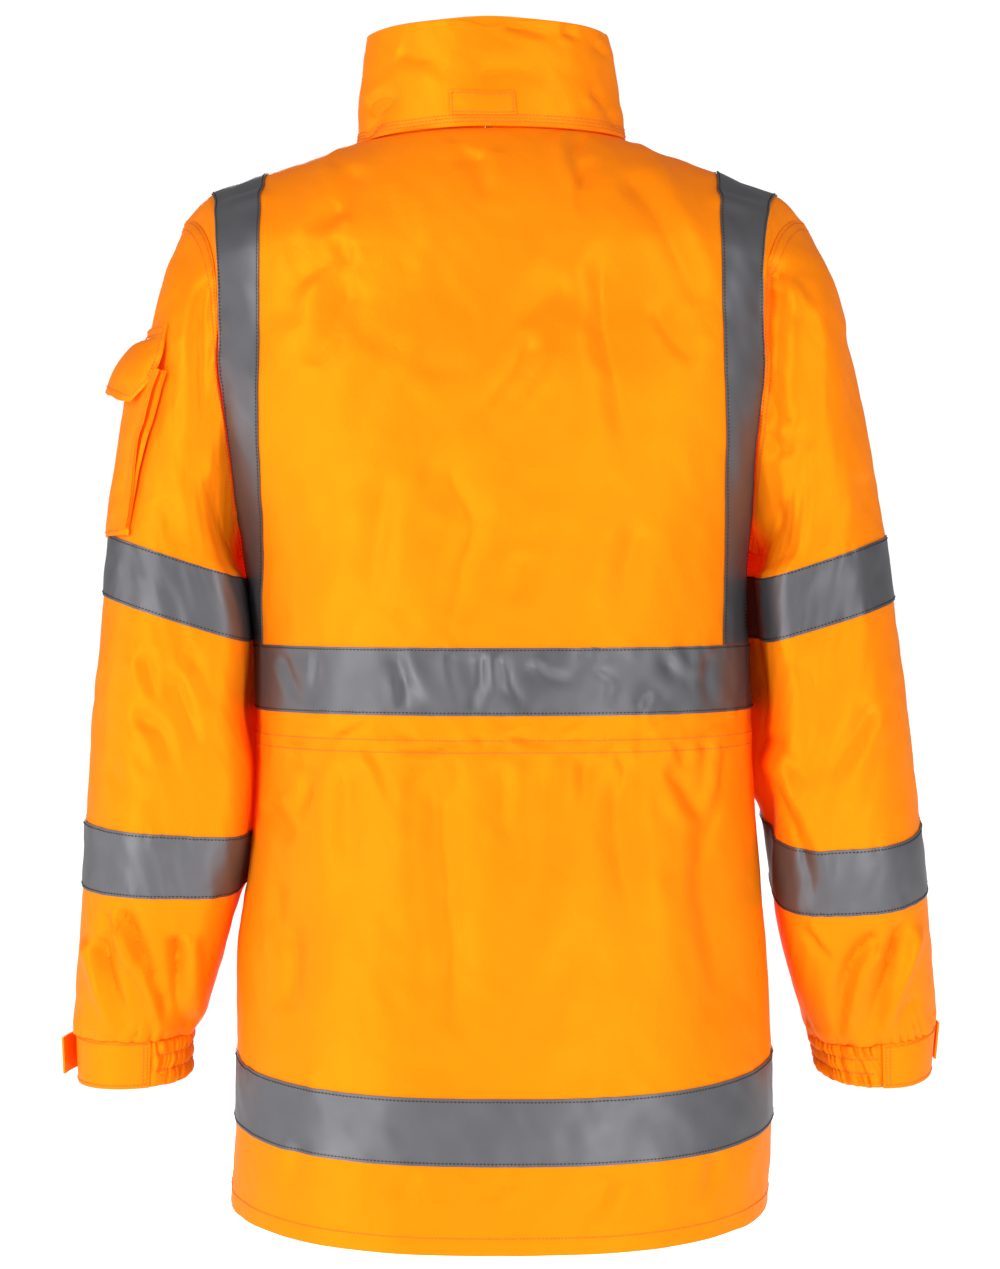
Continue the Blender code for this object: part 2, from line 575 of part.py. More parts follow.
def raised_rows(name, grid, rows, columns_at, rise_at, gap, reach, collection):
    """A piece laid on the sleeve over the given rows, a gap off it and raised by reach as the rows say."""
    axis = grid.mean(axis=1)[:, None].repeat(2, axis=1)
    points, lift, middle = [], [], []
    for row, rise in zip(rows["row"], rows["rise"]):
        columns = columns_at(row, rise)
        points.append([on_grid(grid, row, column) for column in columns])
        lift.append(rise_at(rise, len(columns)))
        middle.append([on_grid(axis, row, 0)])
    inside = np.array(middle)
    raised = lifted(np.array(points), inside, gap + CLOTH + np.array(lift) * reach)
    cloth(name, raised, inside, collection)


def sleeve_pocket(grid, collection):
    """The pen pocket on the left upper sleeve: a bellows panel and the flap that stands off it."""
    def pocket_columns(row, _rise):
        first = POCKET_SIDE[0] + POCKET_SIDE[1] * (row - 2)
        return first, first + POCKET_SIDE_WALL, 9, 10, 11, 12, 12.6, 12.9

    def flap_columns(_row, rise):
        return FLAP_SIDE[0] + FLAP_SIDE[1] * rise, 8, 9, 10, 11, 12, 13

    raised_rows("pocket_bellows", grid, POCKET_ROWS, pocket_columns,
                lambda rise, count: [0] + [rise] * (count - 2) + [0], POCKET_GAP, POCKET_DEPTH, collection)
    raised_rows("pocket_flap", grid, FLAP_ROWS, flap_columns,
                lambda rise, count: [rise] * count, FLAP_GAP, FLAP_REACH, collection)


def zip_line(panels):
    """The centre front from the hem to the collar's top, between the two zip edges."""
    front = (panels["front", "left"][:, 0] + panels["front", "right"][:, 0]) / 2
    stand = collar_grid(0, COLLAR_GAP, 0)[1:]
    return np.concatenate([front, (stand[:, 0] + stand[:, -1]) / 2])


def zip_chain(line, top_z, collection):
    """The closed zip's coil, from just above the hem to the slider."""
    start = LEVELS["z"][0] + ZIP_ABOVE_HEM
    inner = line[(line[:, 2] > start + ZIP_END_STEP) & (line[:, 2] < top_z - ZIP_END_STEP)]
    ends = [np.array([np.interp(z, line[:, 2], line[:, axis]) for axis in range(3)]) for z in (start, top_z)]
    centre = np.concatenate([ends[:1], inner, ends[1:]])
    strip = np.stack([centre - (ZIP_HALF_CHAIN, 0, 0), centre, centre + (ZIP_HALF_CHAIN, 0, 0)], axis=1)
    inside = strip.mean(axis=1, keepdims=True) + (0, 0.05, 0)
    cloth("zip_chain", strip, inside, collection, "zip coil", ZIP_WALL)


def zip_slider(centre, collection, cutters):
    """The slider with its bail: a front plate, a core between the edges and a square arch."""
    plate_y = centre[1] - SLIDER_CLEARANCE - SLIDER_SIZE[1] / 2
    slider = finish("zip_slider", box_mesh("zip_slider", SLIDER_SIZE, (centre[0], plate_y, centre[2])),
                    collection, "zip metal")
    core_y = centre[1] - SLIDER_CLEARANCE + SLIDER_CORE[1] / 2 - CAST_OVERLAP
    combine(slider, cutter("slider core", SLIDER_CORE, (centre[0], core_y, centre[2]), cutters), "UNION")
    face_y = plate_y - SLIDER_SIZE[1] / 2
    reach = BAIL_INSIDE + BAIL_BAR
    bail = (BAIL_WIDTH, reach, 2 * BAIL_HALF_HEIGHT)
    bail_y = face_y - reach / 2 + CAST_OVERLAP
    combine(slider, cutter("bail", bail, (centre[0], bail_y, centre[2]), cutters), "UNION")
    hole = (BAIL_WIDTH * 2, BAIL_INSIDE, 2 * (BAIL_HALF_HEIGHT - BAIL_BAR))
    hole_y = face_y - hole[1] / 2
    combine(slider, cutter("bail hole", hole, (centre[0], hole_y, centre[2]), cutters), "DIFFERENCE")
    return Vector((centre[0], face_y - TAB_OFF_PLATE, centre[2] - HINGE_BELOW_MIDDLE))


def zip_pull(hinge, collection, cutters):
    """The pull tab, hanging from the bail; its origin is on the hinge axis."""
    below = TAB_SIZE[2] / 2 - TAB_TOP_BAR / 2
    mesh = box_mesh("zip_pull", TAB_SIZE, (0, 0, -below))
    pull = finish("zip_pull", mesh, collection, "zip metal")
    pull.location = hinge
    eye = (TAB_EYE[0], TAB_SIZE[1] * 2, TAB_EYE[1])
    place = hinge + Vector((0, 0, -TAB_TOP_BAR / 2 - TAB_EYE[1] / 2))
    combine(pull, cutter("tab eye", eye, place, cutters), "DIFFERENCE")


def build():
    """Clear the scene and make every piece."""
    for old in list(bpy.data.objects):
        bpy.data.objects.remove(old)
    jacket = bpy.data.collections.new("hi-vis work jacket")
    cutters = bpy.data.collections.new("cutters")
    for collection in (jacket, cutters):
        bpy.context.scene.collection.children.link(collection)
    panels = {}
    for name, side in SIDES.items():
        panels["back", name] = half_panel(1, side)
        panels["front", name] = half_panel(-1, side)
    body_panels(panels, jacket)
    hoop_tape("tape_hem", HEM_TAPE_LEVELS, panels, jacket)
    hoop_tape("tape_waist", WAIST_TAPE_LEVELS, panels, jacket)
    collar(jacket)
    for name in SIDES:
        brace_tape(name, panels, jacket)
        sleeve = sleeve_grid(name, panels)
        cloth(f"sleeve_{name}", sleeve, sleeve.mean(axis=1, keepdims=True), jacket, closed=True)
        arm_tape(f"tape_upper_arm_{name}", sleeve, UPPER_BAND_HOOPS, jacket)
        arm_tape(f"tape_lower_arm_{name}", sleeve, LOWER_BAND_HOOPS, jacket)
        cuff(name, jacket)
        if name == "left":
            sleeve_pocket(sleeve, jacket)
    line = zip_line(panels)
    slider_z = line[-1, 2] - SLIDER_BELOW_COLLAR_TOP
    slider_centre = [np.interp(slider_z, line[:, 2], line[:, axis]) for axis in range(3)]
    zip_chain(line, slider_z - SLIDER_SIZE[2] / 2 - SEAM_GAP, jacket)
    zip_pull(zip_slider(slider_centre, jacket, cutters), jacket, cutters)


build()
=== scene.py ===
"""Hi-vis work jacket as worn: satin cloth, reflective tapes, gathered cuffs, sleeve pocket and zip.

Every cloth piece is a grid laid on the garment's form, creased along its normals and given its wall by
Solidify. The form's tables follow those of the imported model, with small corrections to the outline, and
are read between their rows on smooth curves.
"""
import collections
import functools
import json
import math

import bmesh
import bpy
import numpy as np
from bpy.props import FloatProperty, FloatVectorProperty, PointerProperty
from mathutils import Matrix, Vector

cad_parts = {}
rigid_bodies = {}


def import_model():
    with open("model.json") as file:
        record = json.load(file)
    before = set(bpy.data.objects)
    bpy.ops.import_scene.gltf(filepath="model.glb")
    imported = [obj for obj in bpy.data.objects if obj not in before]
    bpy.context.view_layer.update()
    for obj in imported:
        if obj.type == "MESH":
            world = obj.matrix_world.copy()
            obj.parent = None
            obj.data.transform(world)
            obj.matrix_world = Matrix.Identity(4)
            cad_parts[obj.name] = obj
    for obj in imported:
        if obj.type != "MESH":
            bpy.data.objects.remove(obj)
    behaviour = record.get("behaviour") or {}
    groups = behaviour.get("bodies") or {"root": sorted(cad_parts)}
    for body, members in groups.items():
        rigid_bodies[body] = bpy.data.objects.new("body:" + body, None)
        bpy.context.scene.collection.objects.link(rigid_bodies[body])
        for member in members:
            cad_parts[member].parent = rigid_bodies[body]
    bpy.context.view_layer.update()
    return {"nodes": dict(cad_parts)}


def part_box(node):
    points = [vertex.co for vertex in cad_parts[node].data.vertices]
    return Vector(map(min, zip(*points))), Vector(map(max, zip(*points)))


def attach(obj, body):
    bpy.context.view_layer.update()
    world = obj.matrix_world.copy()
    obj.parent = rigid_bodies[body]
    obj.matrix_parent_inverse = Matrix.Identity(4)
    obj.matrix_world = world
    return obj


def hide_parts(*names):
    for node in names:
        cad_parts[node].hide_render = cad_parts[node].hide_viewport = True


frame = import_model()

bl_info = {
    "name": "Hi-vis work jacket",
    "version": (1, 0, 0),
    "blender": (4, 5, 0),
    "location": "3D View > Sidebar > Jacket",
    "description": "Models a worn hi-vis jacket piece by piece, with its seams, tapes and studio",
    "category": "Object",
}

# ---- driving dimensions, in metres
TAPE_WIDTH = 0.05
SEAM_GAP = 0.0003  # clearance where one piece lies on another
SIDE_SEAM_HALF_GAP = 0.0004
SHOULDER_SEAM_HALF_GAP = 0.0007
# How far the back runs on past its edge, and how deep it lies there under the piece sewn to it.
SEAM_ALLOWANCE = ((0.0002, 0.0019), (0.0042, 0.0014))
EDGE_ROLL = (0.0009, 0.0025)  # how deep a panel's edge rolls in at its seam, and over what reach
ARMHOLE_GAP = 0.0003  # from the body's edge out to the sleeve's first row
TAPE_TO_ARMHOLE = 0.0022  # a brace tape stops this far short of the armhole seam
BRACE_INSIDE = 0.174  # inner edge of a brace tape from the centre line
# The inner edge, middle and outer edge of a brace tape on the shoulder seam.
BRACE_ON_SHOULDER = {"left": (0.1725, 0.195, 0.218), "right": (0.173, 0.198, 0.2235)}
BRACE_GAP = 0.00051  # under a brace tape, which turns over the shoulder
BRACE_END_STEP = 0.1  # how far short of the waist tape a brace tape ends, as a part of a cell
NECK_HALF_WIDTH = 0.105
NECK_BACK = 0.076
NECK_FRONT = 0.08
NECK_DROP = 0.062  # how much lower the neckline is at the centre front
NECK_DROP_POWER = 1.4  # how late that drop comes on the way to the front
SHOULDER_ARC = (60, 90)  # degrees of arc a panel climbs, at the centre line and on the shoulder
SHOULDER_SHIFT = 0.007  # the yoke hangs this far to the wearer's left
COLLAR_GAP = 0.0007  # from the neckline up to the collar
LINING_GAP = 0.0006  # between the collar's two layers
LINING_LIFT = (0.003, 0.0015)  # how far the inner layer starts and ends above the outer one
COLLAR_STITCHES = (0.0035, 0.0062, 0.0088)  # rows of topstitching above the neckline
ARMHOLE_STITCHES = (0.003, 0.0095)  # and on a sleeve beside its armhole
PATCH_SIZE = (0.0507, 0.0175)
PATCH_PLACE = (0.0055, 0.0085)  # its middle from the collar's, and its lower edge above the neckline
PATCH_GAP = 0.0006
PATCH_BULGE = 0.0006
PATCH_STITCH_INSET = 0.0018
CUFF_HEIGHT_GAP = 0.0006  # between a sleeve's end and its cuff
CUFF_TUCK = (0.1, 0.0026)  # how far a cuff runs up inside the sleeve, as a part of it, and how deep
ELASTIC_TUCK = (3.0, 0.0017)  # how far an elastic half runs on under the band, in degrees, and how deep
ELASTIC_DRAW_IN = 0.001  # the gathered half lies this much inside the flat band
GATHER_ROWS = 3  # puffed tiers of an elastic half
PLEAT_HEIGHT = 0.0021
PUFF_HEIGHT = 0.0016  # how far a tier stands out between its rows of sewing
PUFF_SINK = 0.0004  # how far the sewing draws it in
PLEAT_LEAN = (0.0035, (0.015, 0.01))  # how far a pleat strays sideways, and that net's cell
STRAP_GAP = 0.0008  # under a cuff strap's sewn end
STRAP_SPAN = (0.12, 0.86)  # its upper and lower edge, as parts of the cuff's height
STRAP_STITCH_INSET = 0.06  # and its stitches inside them
POCKET_GAP = 0.0009  # under the pocket's edges
FLAP_GAP = 0.0003  # under the flap's sewn edge
POCKET_DEPTH = 0.0085
FLAP_REACH = 0.0255  # the flap's free edge stands this far off
FLAP_SLANT = 0.0085  # how much lower the flap's rear corner hangs
FLAP_FRONT_COLUMN = 13
ZIP_HALF_OPENING = 0.0036
ZIP_END = 0.001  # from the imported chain's ends to the first and last tooth
TOOTH_SIZE = (0.0042, 0.82, 0.0016)  # across the zip, along it as a part of the pitch, and outwards
TOOTH_PLACE = (0.0008, 0.0003)  # off the zip's line towards its own side, and how deep behind it
ZIP_TAPE_COLUMNS = (0.0008, 0.004, 0.0075, 0.011)  # the woven edge's columns from the zip's line
ZIP_TAPE_BEHIND = 0.0012  # how far it lies behind that line
ZIP_TAPE_WALL = 0.0006

NECK_COLUMNS = 5  # grid columns from the centre line to the side neck point
CENTRE_COLUMNS = 6  # and on to the brace tape
BRACE_COLUMNS = 8  # the column at a brace tape's outer edge
EDGE_COLUMN = 10  # the column at the side seam or armhole
TOP_ROWS = 5  # grid rows from the yoke level up to the neck and shoulder seams
AROUND_ARM = 22  # grid columns round a sleeve
RING_SAMPLES = 240  # points that measure the length of cloth along a level
CELL = 0.0034  # side of a cell of the body's net
SLEEVE_CELL = 0.004
TOP_CELLS = 9  # cells in each row above the yoke
PANEL_CELLS = 8  # cells in each column of a half panel
BRACE_CELLS = 7  # and in each column under a brace tape
SLEEVE_CELLS = 7  # and in each column of a sleeve
EDGE_STEP = 0.04  # a stitch line's place inside a tape, as a part of its width
STITCH_START, STITCH_END = 0.7, 0.5  # pitches that a run's ends stay free of stitches
STITCH_AHEAD = 0.001  # how far on a run's direction is read
STITCH_LIFT, STITCH_FLATNESS = 0.25, 0.8  # a stitch's middle above the cloth, and its height, in widths
SIDES = {"left": 1, "right": -1}
FACES = {"back": 1, "front": -1}


def table(columns, *rows):
    """A table as one array for each named column."""
    return {name: np.array([row[place] for row in rows], float) for place, name in enumerate(columns)}


# One ring of the body for each level, from the hem up to the yoke. shift moves it to the wearer's left,
# tail is how much lower the centre back hangs, arm_back and arm_front are how far the panels' edges lie
# from the middle plane, and brace_lean is how far both brace tapes stray to the left.
LEVELS = table(
    ("z", "half_width", "back", "front", "roundness", "shift", "tail",
     "arm_back", "arm_front", "brace_lean"),
    (-0.819, 0.2082, 0.1565, 0.15, 2.4, -0.0003, 0.019, 0, 0, 0),
    (-0.752, 0.2066, 0.156, 0.148, 2.6, -0.0028, 0.021, 0, 0, 0),
    (-0.701, 0.2062, 0.155, 0.147, 2.6, -0.0025, 0.0225, 0, 0, 0),
    (-0.63, 0.2052, 0.152, 0.145, 2.5, -0.001, 0.016, 0, 0, 0.001),
    (-0.56, 0.1982, 0.148, 0.142, 2.5, -0.0033, 0.01, 0, 0, 0.003),
    (-0.49, 0.193, 0.143, 0.137, 2.45, -0.0025, 0.006, 0, 0, 0.005),
    (-0.44, 0.191, 0.139, 0.133, 2.45, -0.002, 0.004, 0, 0, 0.007),
    (-0.39, 0.1905, 0.138, 0.132, 2.45, -0.001, 0.004, 0, 0, 0.007),
    (-0.352, 0.193, 0.1385, 0.133, 2.45, 0.0015, 0.002, 0, 0, 0.005),
    (-0.318, 0.1965, 0.139, 0.135, 2.4, 0.003, 0.0, 0, 0, 0.003),
    (-0.302, 0.199, 0.1395, 0.1355, 2.4, 0.0035, 0.0, 0.03, 0.032, 0.002),
    (-0.275, 0.2055, 0.14, 0.136, 2.4, 0.0045, 0.0, 0.05, 0.055, 0.001),
    (-0.24, 0.217, 0.1405, 0.136, 2.4, 0.0055, 0.0, 0.068, 0.072, 0.0),
    (-0.2, 0.231, 0.14, 0.133, 2.35, 0.006, 0.0, 0.077, 0.08, 0.0),
    (-0.165, 0.24, 0.134, 0.128, 2.3, 0.0065, 0.0, 0.078, 0.08, 0.0),
    (-0.13, 0.244, 0.125, 0.118, 2.2, 0.007, 0.0, 0.072, 0.073, 0.0))
HEM_TAPE_LEVELS = (1, 2)
WAIST_TAPE_LEVELS = (6, 7)
ARMPIT_LEVEL = 9
YOKE_LEVEL = 15
YOKE_BLEND = (0.6, 1.2)  # rows below and above the yoke level whose bend is evened out
YOKE_PASSES = 30
TOP_EDGE = YOKE_LEVEL + TOP_ROWS

# The shoulder ridge, from the side neck point out to the shoulder point.
RIDGE = {
    "left": table(
        ("x", "z"),
        (0.105, -0.0045), (0.12, -0.0115), (0.1445, -0.019),
        (0.191, -0.0322), (0.2228, -0.045), (0.2385, -0.061)),
    "right": table(
        ("x", "z"),
        (0.105, 0.0), (0.12, -0.0075), (0.1445, -0.016),
        (0.191, -0.0318), (0.228, -0.0455), (0.243, -0.061))}
NECK_TILT = 0.0045  # how much lower the neckline lies on the left

# The stand collar, from the neckline up. height is a part of the collar's height.
COLLAR = table(
    ("height", "half_width", "back", "front"),
    (0.0, 0.105, 0.076, 0.08),
    (0.34, 0.1018, 0.074, 0.08),
    (0.7, 0.099, 0.071, 0.079),
    (1.0, 0.0945, 0.068, 0.077))
COLLAR_TOP_BACK = 0.0825
COLLAR_TOP_FRONT = 0.036
COLLAR_SIDE_DROP = 0.0018
COLLAR_LEAN = 0.0018  # how far the collar's upper part leans to the left
COLLAR_DIP = 0.0055  # how far the outer layer's rim sags behind
COLLAR_DIP_PLACE = (0.007, 0.015)  # the sag's middle and its reach to each side
COLLAR_CROWN = 0.0018  # how far the inner layer's rim shows above it
COLLAR_CROWN_PLACE = (0.009, 0.03)

# Hoops of each sleeve, from just past the armhole down to the cuff's edge. out and in are the hoop's
# outer and inner points, seen from behind; depth is half its size from back to front; lean is how much
# its back side sinks for each metre of depth.
HOOP = ("out_x", "out_z", "in_x", "in_z", "depth", "centre_y", "lean", "inner_roundness")
SLEEVES = {
    "left": table(
        HOOP,
        (0.2548, -0.092, 0.204, -0.3215, 0.084, 0.0, 0.0, 2.15),
        (0.2692, -0.145, 0.2045, -0.325, 0.082, 0.001, 0.0, 2.15),
        (0.2785, -0.195, 0.203, -0.329, 0.079, 0.002, 0.01, 2.3),
        (0.288, -0.25, 0.2005, -0.334, 0.076, 0.004, 0.02, 2.8),
        (0.302, -0.305, 0.197, -0.34, 0.075, 0.006, 0.03, 4.0),
        (0.307, -0.352, 0.1925, -0.388, 0.074, 0.008, 0.04, 5.0),
        (0.313, -0.41, 0.1965, -0.44, 0.073, 0.01, 0.06, 5.0),
        (0.317, -0.468, 0.19, -0.488, 0.071, 0.011, 0.08, 5.0),
        (0.3205, -0.525, 0.1925, -0.532, 0.068, 0.009, 0.1, 4.5),
        (0.324, -0.577, 0.2015, -0.5785, 0.065, 0.005, 0.1, 3.5),
        (0.3285, -0.628, 0.2145, -0.627, 0.06, -0.002, 0.1, 3.2),
        (0.3315, -0.666, 0.227, -0.666, 0.054, -0.008, 0.1, 2.8),
        (0.332, -0.6925, 0.24, -0.692, 0.047, -0.013, 0.1, 2.15),
        (0.331, -0.732, 0.243, -0.729, 0.045, -0.018, 0.1, 2.15)),
    "right": table(
        HOOP,
        (0.2525, -0.092, 0.204, -0.3215, 0.084, 0.0, 0.0, 2.15),
        (0.27, -0.145, 0.2045, -0.325, 0.082, 0.001, 0.0, 2.15),
        (0.2795, -0.195, 0.203, -0.329, 0.079, 0.002, 0.02, 2.3),
        (0.2895, -0.25, 0.201, -0.334, 0.076, 0.004, 0.04, 2.8),
        (0.2975, -0.306, 0.1985, -0.339, 0.075, 0.006, 0.06, 4.5),
        (0.3045, -0.356, 0.203, -0.387, 0.074, 0.008, 0.06, 5.5),
        (0.3132, -0.413, 0.2075, -0.439, 0.073, 0.01, 0.12, 5.5),
        (0.3195, -0.47, 0.202, -0.487, 0.071, 0.011, 0.2, 4.5),
        (0.3263, -0.527, 0.2055, -0.531, 0.068, 0.008, 0.26, 3.5),
        (0.3315, -0.578, 0.213, -0.582, 0.065, 0.0, 0.27, 3.4),
        (0.3375, -0.63, 0.2225, -0.63, 0.06, -0.012, 0.27, 3.3),
        (0.3425, -0.664, 0.234, -0.668, 0.054, -0.024, 0.27, 2.9),
        (0.344, -0.687, 0.243, -0.6945, 0.047, -0.032, 0.25, 2.15),
        (0.3415, -0.727, 0.25, -0.726, 0.045, -0.04, 0.25, 2.15))}
UPPER_BAND_HOOPS = (5, 6)
LOWER_BAND_HOOPS = (9, 10)
SLEEVE_END_HOOP = 13
CUFF_EDGE_HOOP = 14
SLEEVE_ROUNDNESS = 2.15
SLEEVE_BLOUSE = (0.001, 0.008, 0.007)  # how far a sleeve's end bags, how far above its cuff, and its reach
# How far a sleeve's front bulges towards the waist, from and down to which height.
SLACK = {"left": (0.011, -0.278, -0.6), "right": (0.019, -0.278, -0.53)}
SLACK_TURN = (20.0, 1.4)  # column at the bulge's middle, and its half width in columns
SLACK_FADE = (0.04, 0.05)  # how far it takes to set in at the top, and to end at the foot
# Turns about the cuff, in degrees from the inner side round by the back: where the elastic half starts and
# ends, and where a strap is sewn and ends, with how far its free end stands off.
CUFF_ELASTIC = {"left": (-106, 69), "right": (-87, 93)}
CUFF_TAB = {"left": (228, 171, 0.009), "right": (236, 183, 0.0022)}
# The pen pocket and its flap down the left sleeve: height, the column where the rear edge starts, how far
# that edge stands off as a part of the whole, and how far the middle does.
POCKET_ROWS = table(
    ("z", "start", "side_rise", "rise"),
    (-0.185, 7.15, 1.0, 0.95),
    (-0.192, 7.2, 1.03, 0.98),
    (-0.207, 7.3, 1.05, 1.0),
    (-0.234, 7.65, 0.9, 1.0),
    (-0.268, 7.9, 0.35, 0.75),
    (-0.29, 7.8, 0.12, 0.4),
    (-0.309, 7.65, 0.0, 0.0))
FLAP_ROWS = table(
    ("z", "start", "side_rise", "rise"),
    (-0.149, 7.9, 0.0, 0.0),
    (-0.156, 7.8, 0.0, 0.03),
    (-0.163, 7.65, 0.02, 0.42),
    (-0.173, 7.5, 0.12, 0.66),
    (-0.185, 7.5, 0.3, 0.84),
    (-0.201, 8.2, 0.58, 1.0))
# The pocket's rear side from the sleeve to its front panel: columns on, and part of the rise.
POCKET_WALL = table(
    ("column", "rise"),
    (0.0, 0.0), (0.03, 0.3), (0.05, 0.52), (0.5, 0.6), (0.5, 0.84), (0.04, 0.92), (0.0, 1.0),
    (0.08, 1.06), (0.2, 1.0))
POCKET_FRONT_COLUMNS = (12.6, 12.9)  # where its panel ends, and where its front side meets the sleeve
POCKET_FRONT_RISE = (0.75, 0.35, 0.0)  # that side's fall from the panel, as parts of the rise

# Large soft folds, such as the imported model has: from, to, half width and depth, in metres.
FOLD = ("x0", "z0", "x1", "z1", "width", "depth")
SOFT_FOLDS = {
    "back": table(
        FOLD,
        (0.047, -0.475, 0.036, -0.69, 0.03, 0.006),
        (-0.086, -0.475, -0.101, -0.61, 0.028, 0.005),
        (-0.152, -0.52, -0.166, -0.65, 0.022, 0.007),
        (0.16, -0.58, 0.161, -0.665, 0.022, 0.005),
        (-0.079, -0.11, -0.111, -0.27, 0.026, 0.004),
        (0.047, -0.24, 0.033, -0.345, 0.028, 0.004)),
    "front": table(
        FOLD,
        (0.07, -0.475, 0.082, -0.68, 0.028, 0.006),
        (-0.06, -0.48, -0.071, -0.64, 0.028, 0.0055),
        (-0.14, -0.23, -0.07, -0.34, 0.028, 0.004),
        (0.135, -0.24, 0.075, -0.35, 0.028, 0.0045))}
SOFT_FOLD_SHARE = 0.6  # the creases bring the rest of their depth
FOLD_END = 0.15  # how early a fold's depth starts and stops, as a part of half a wave

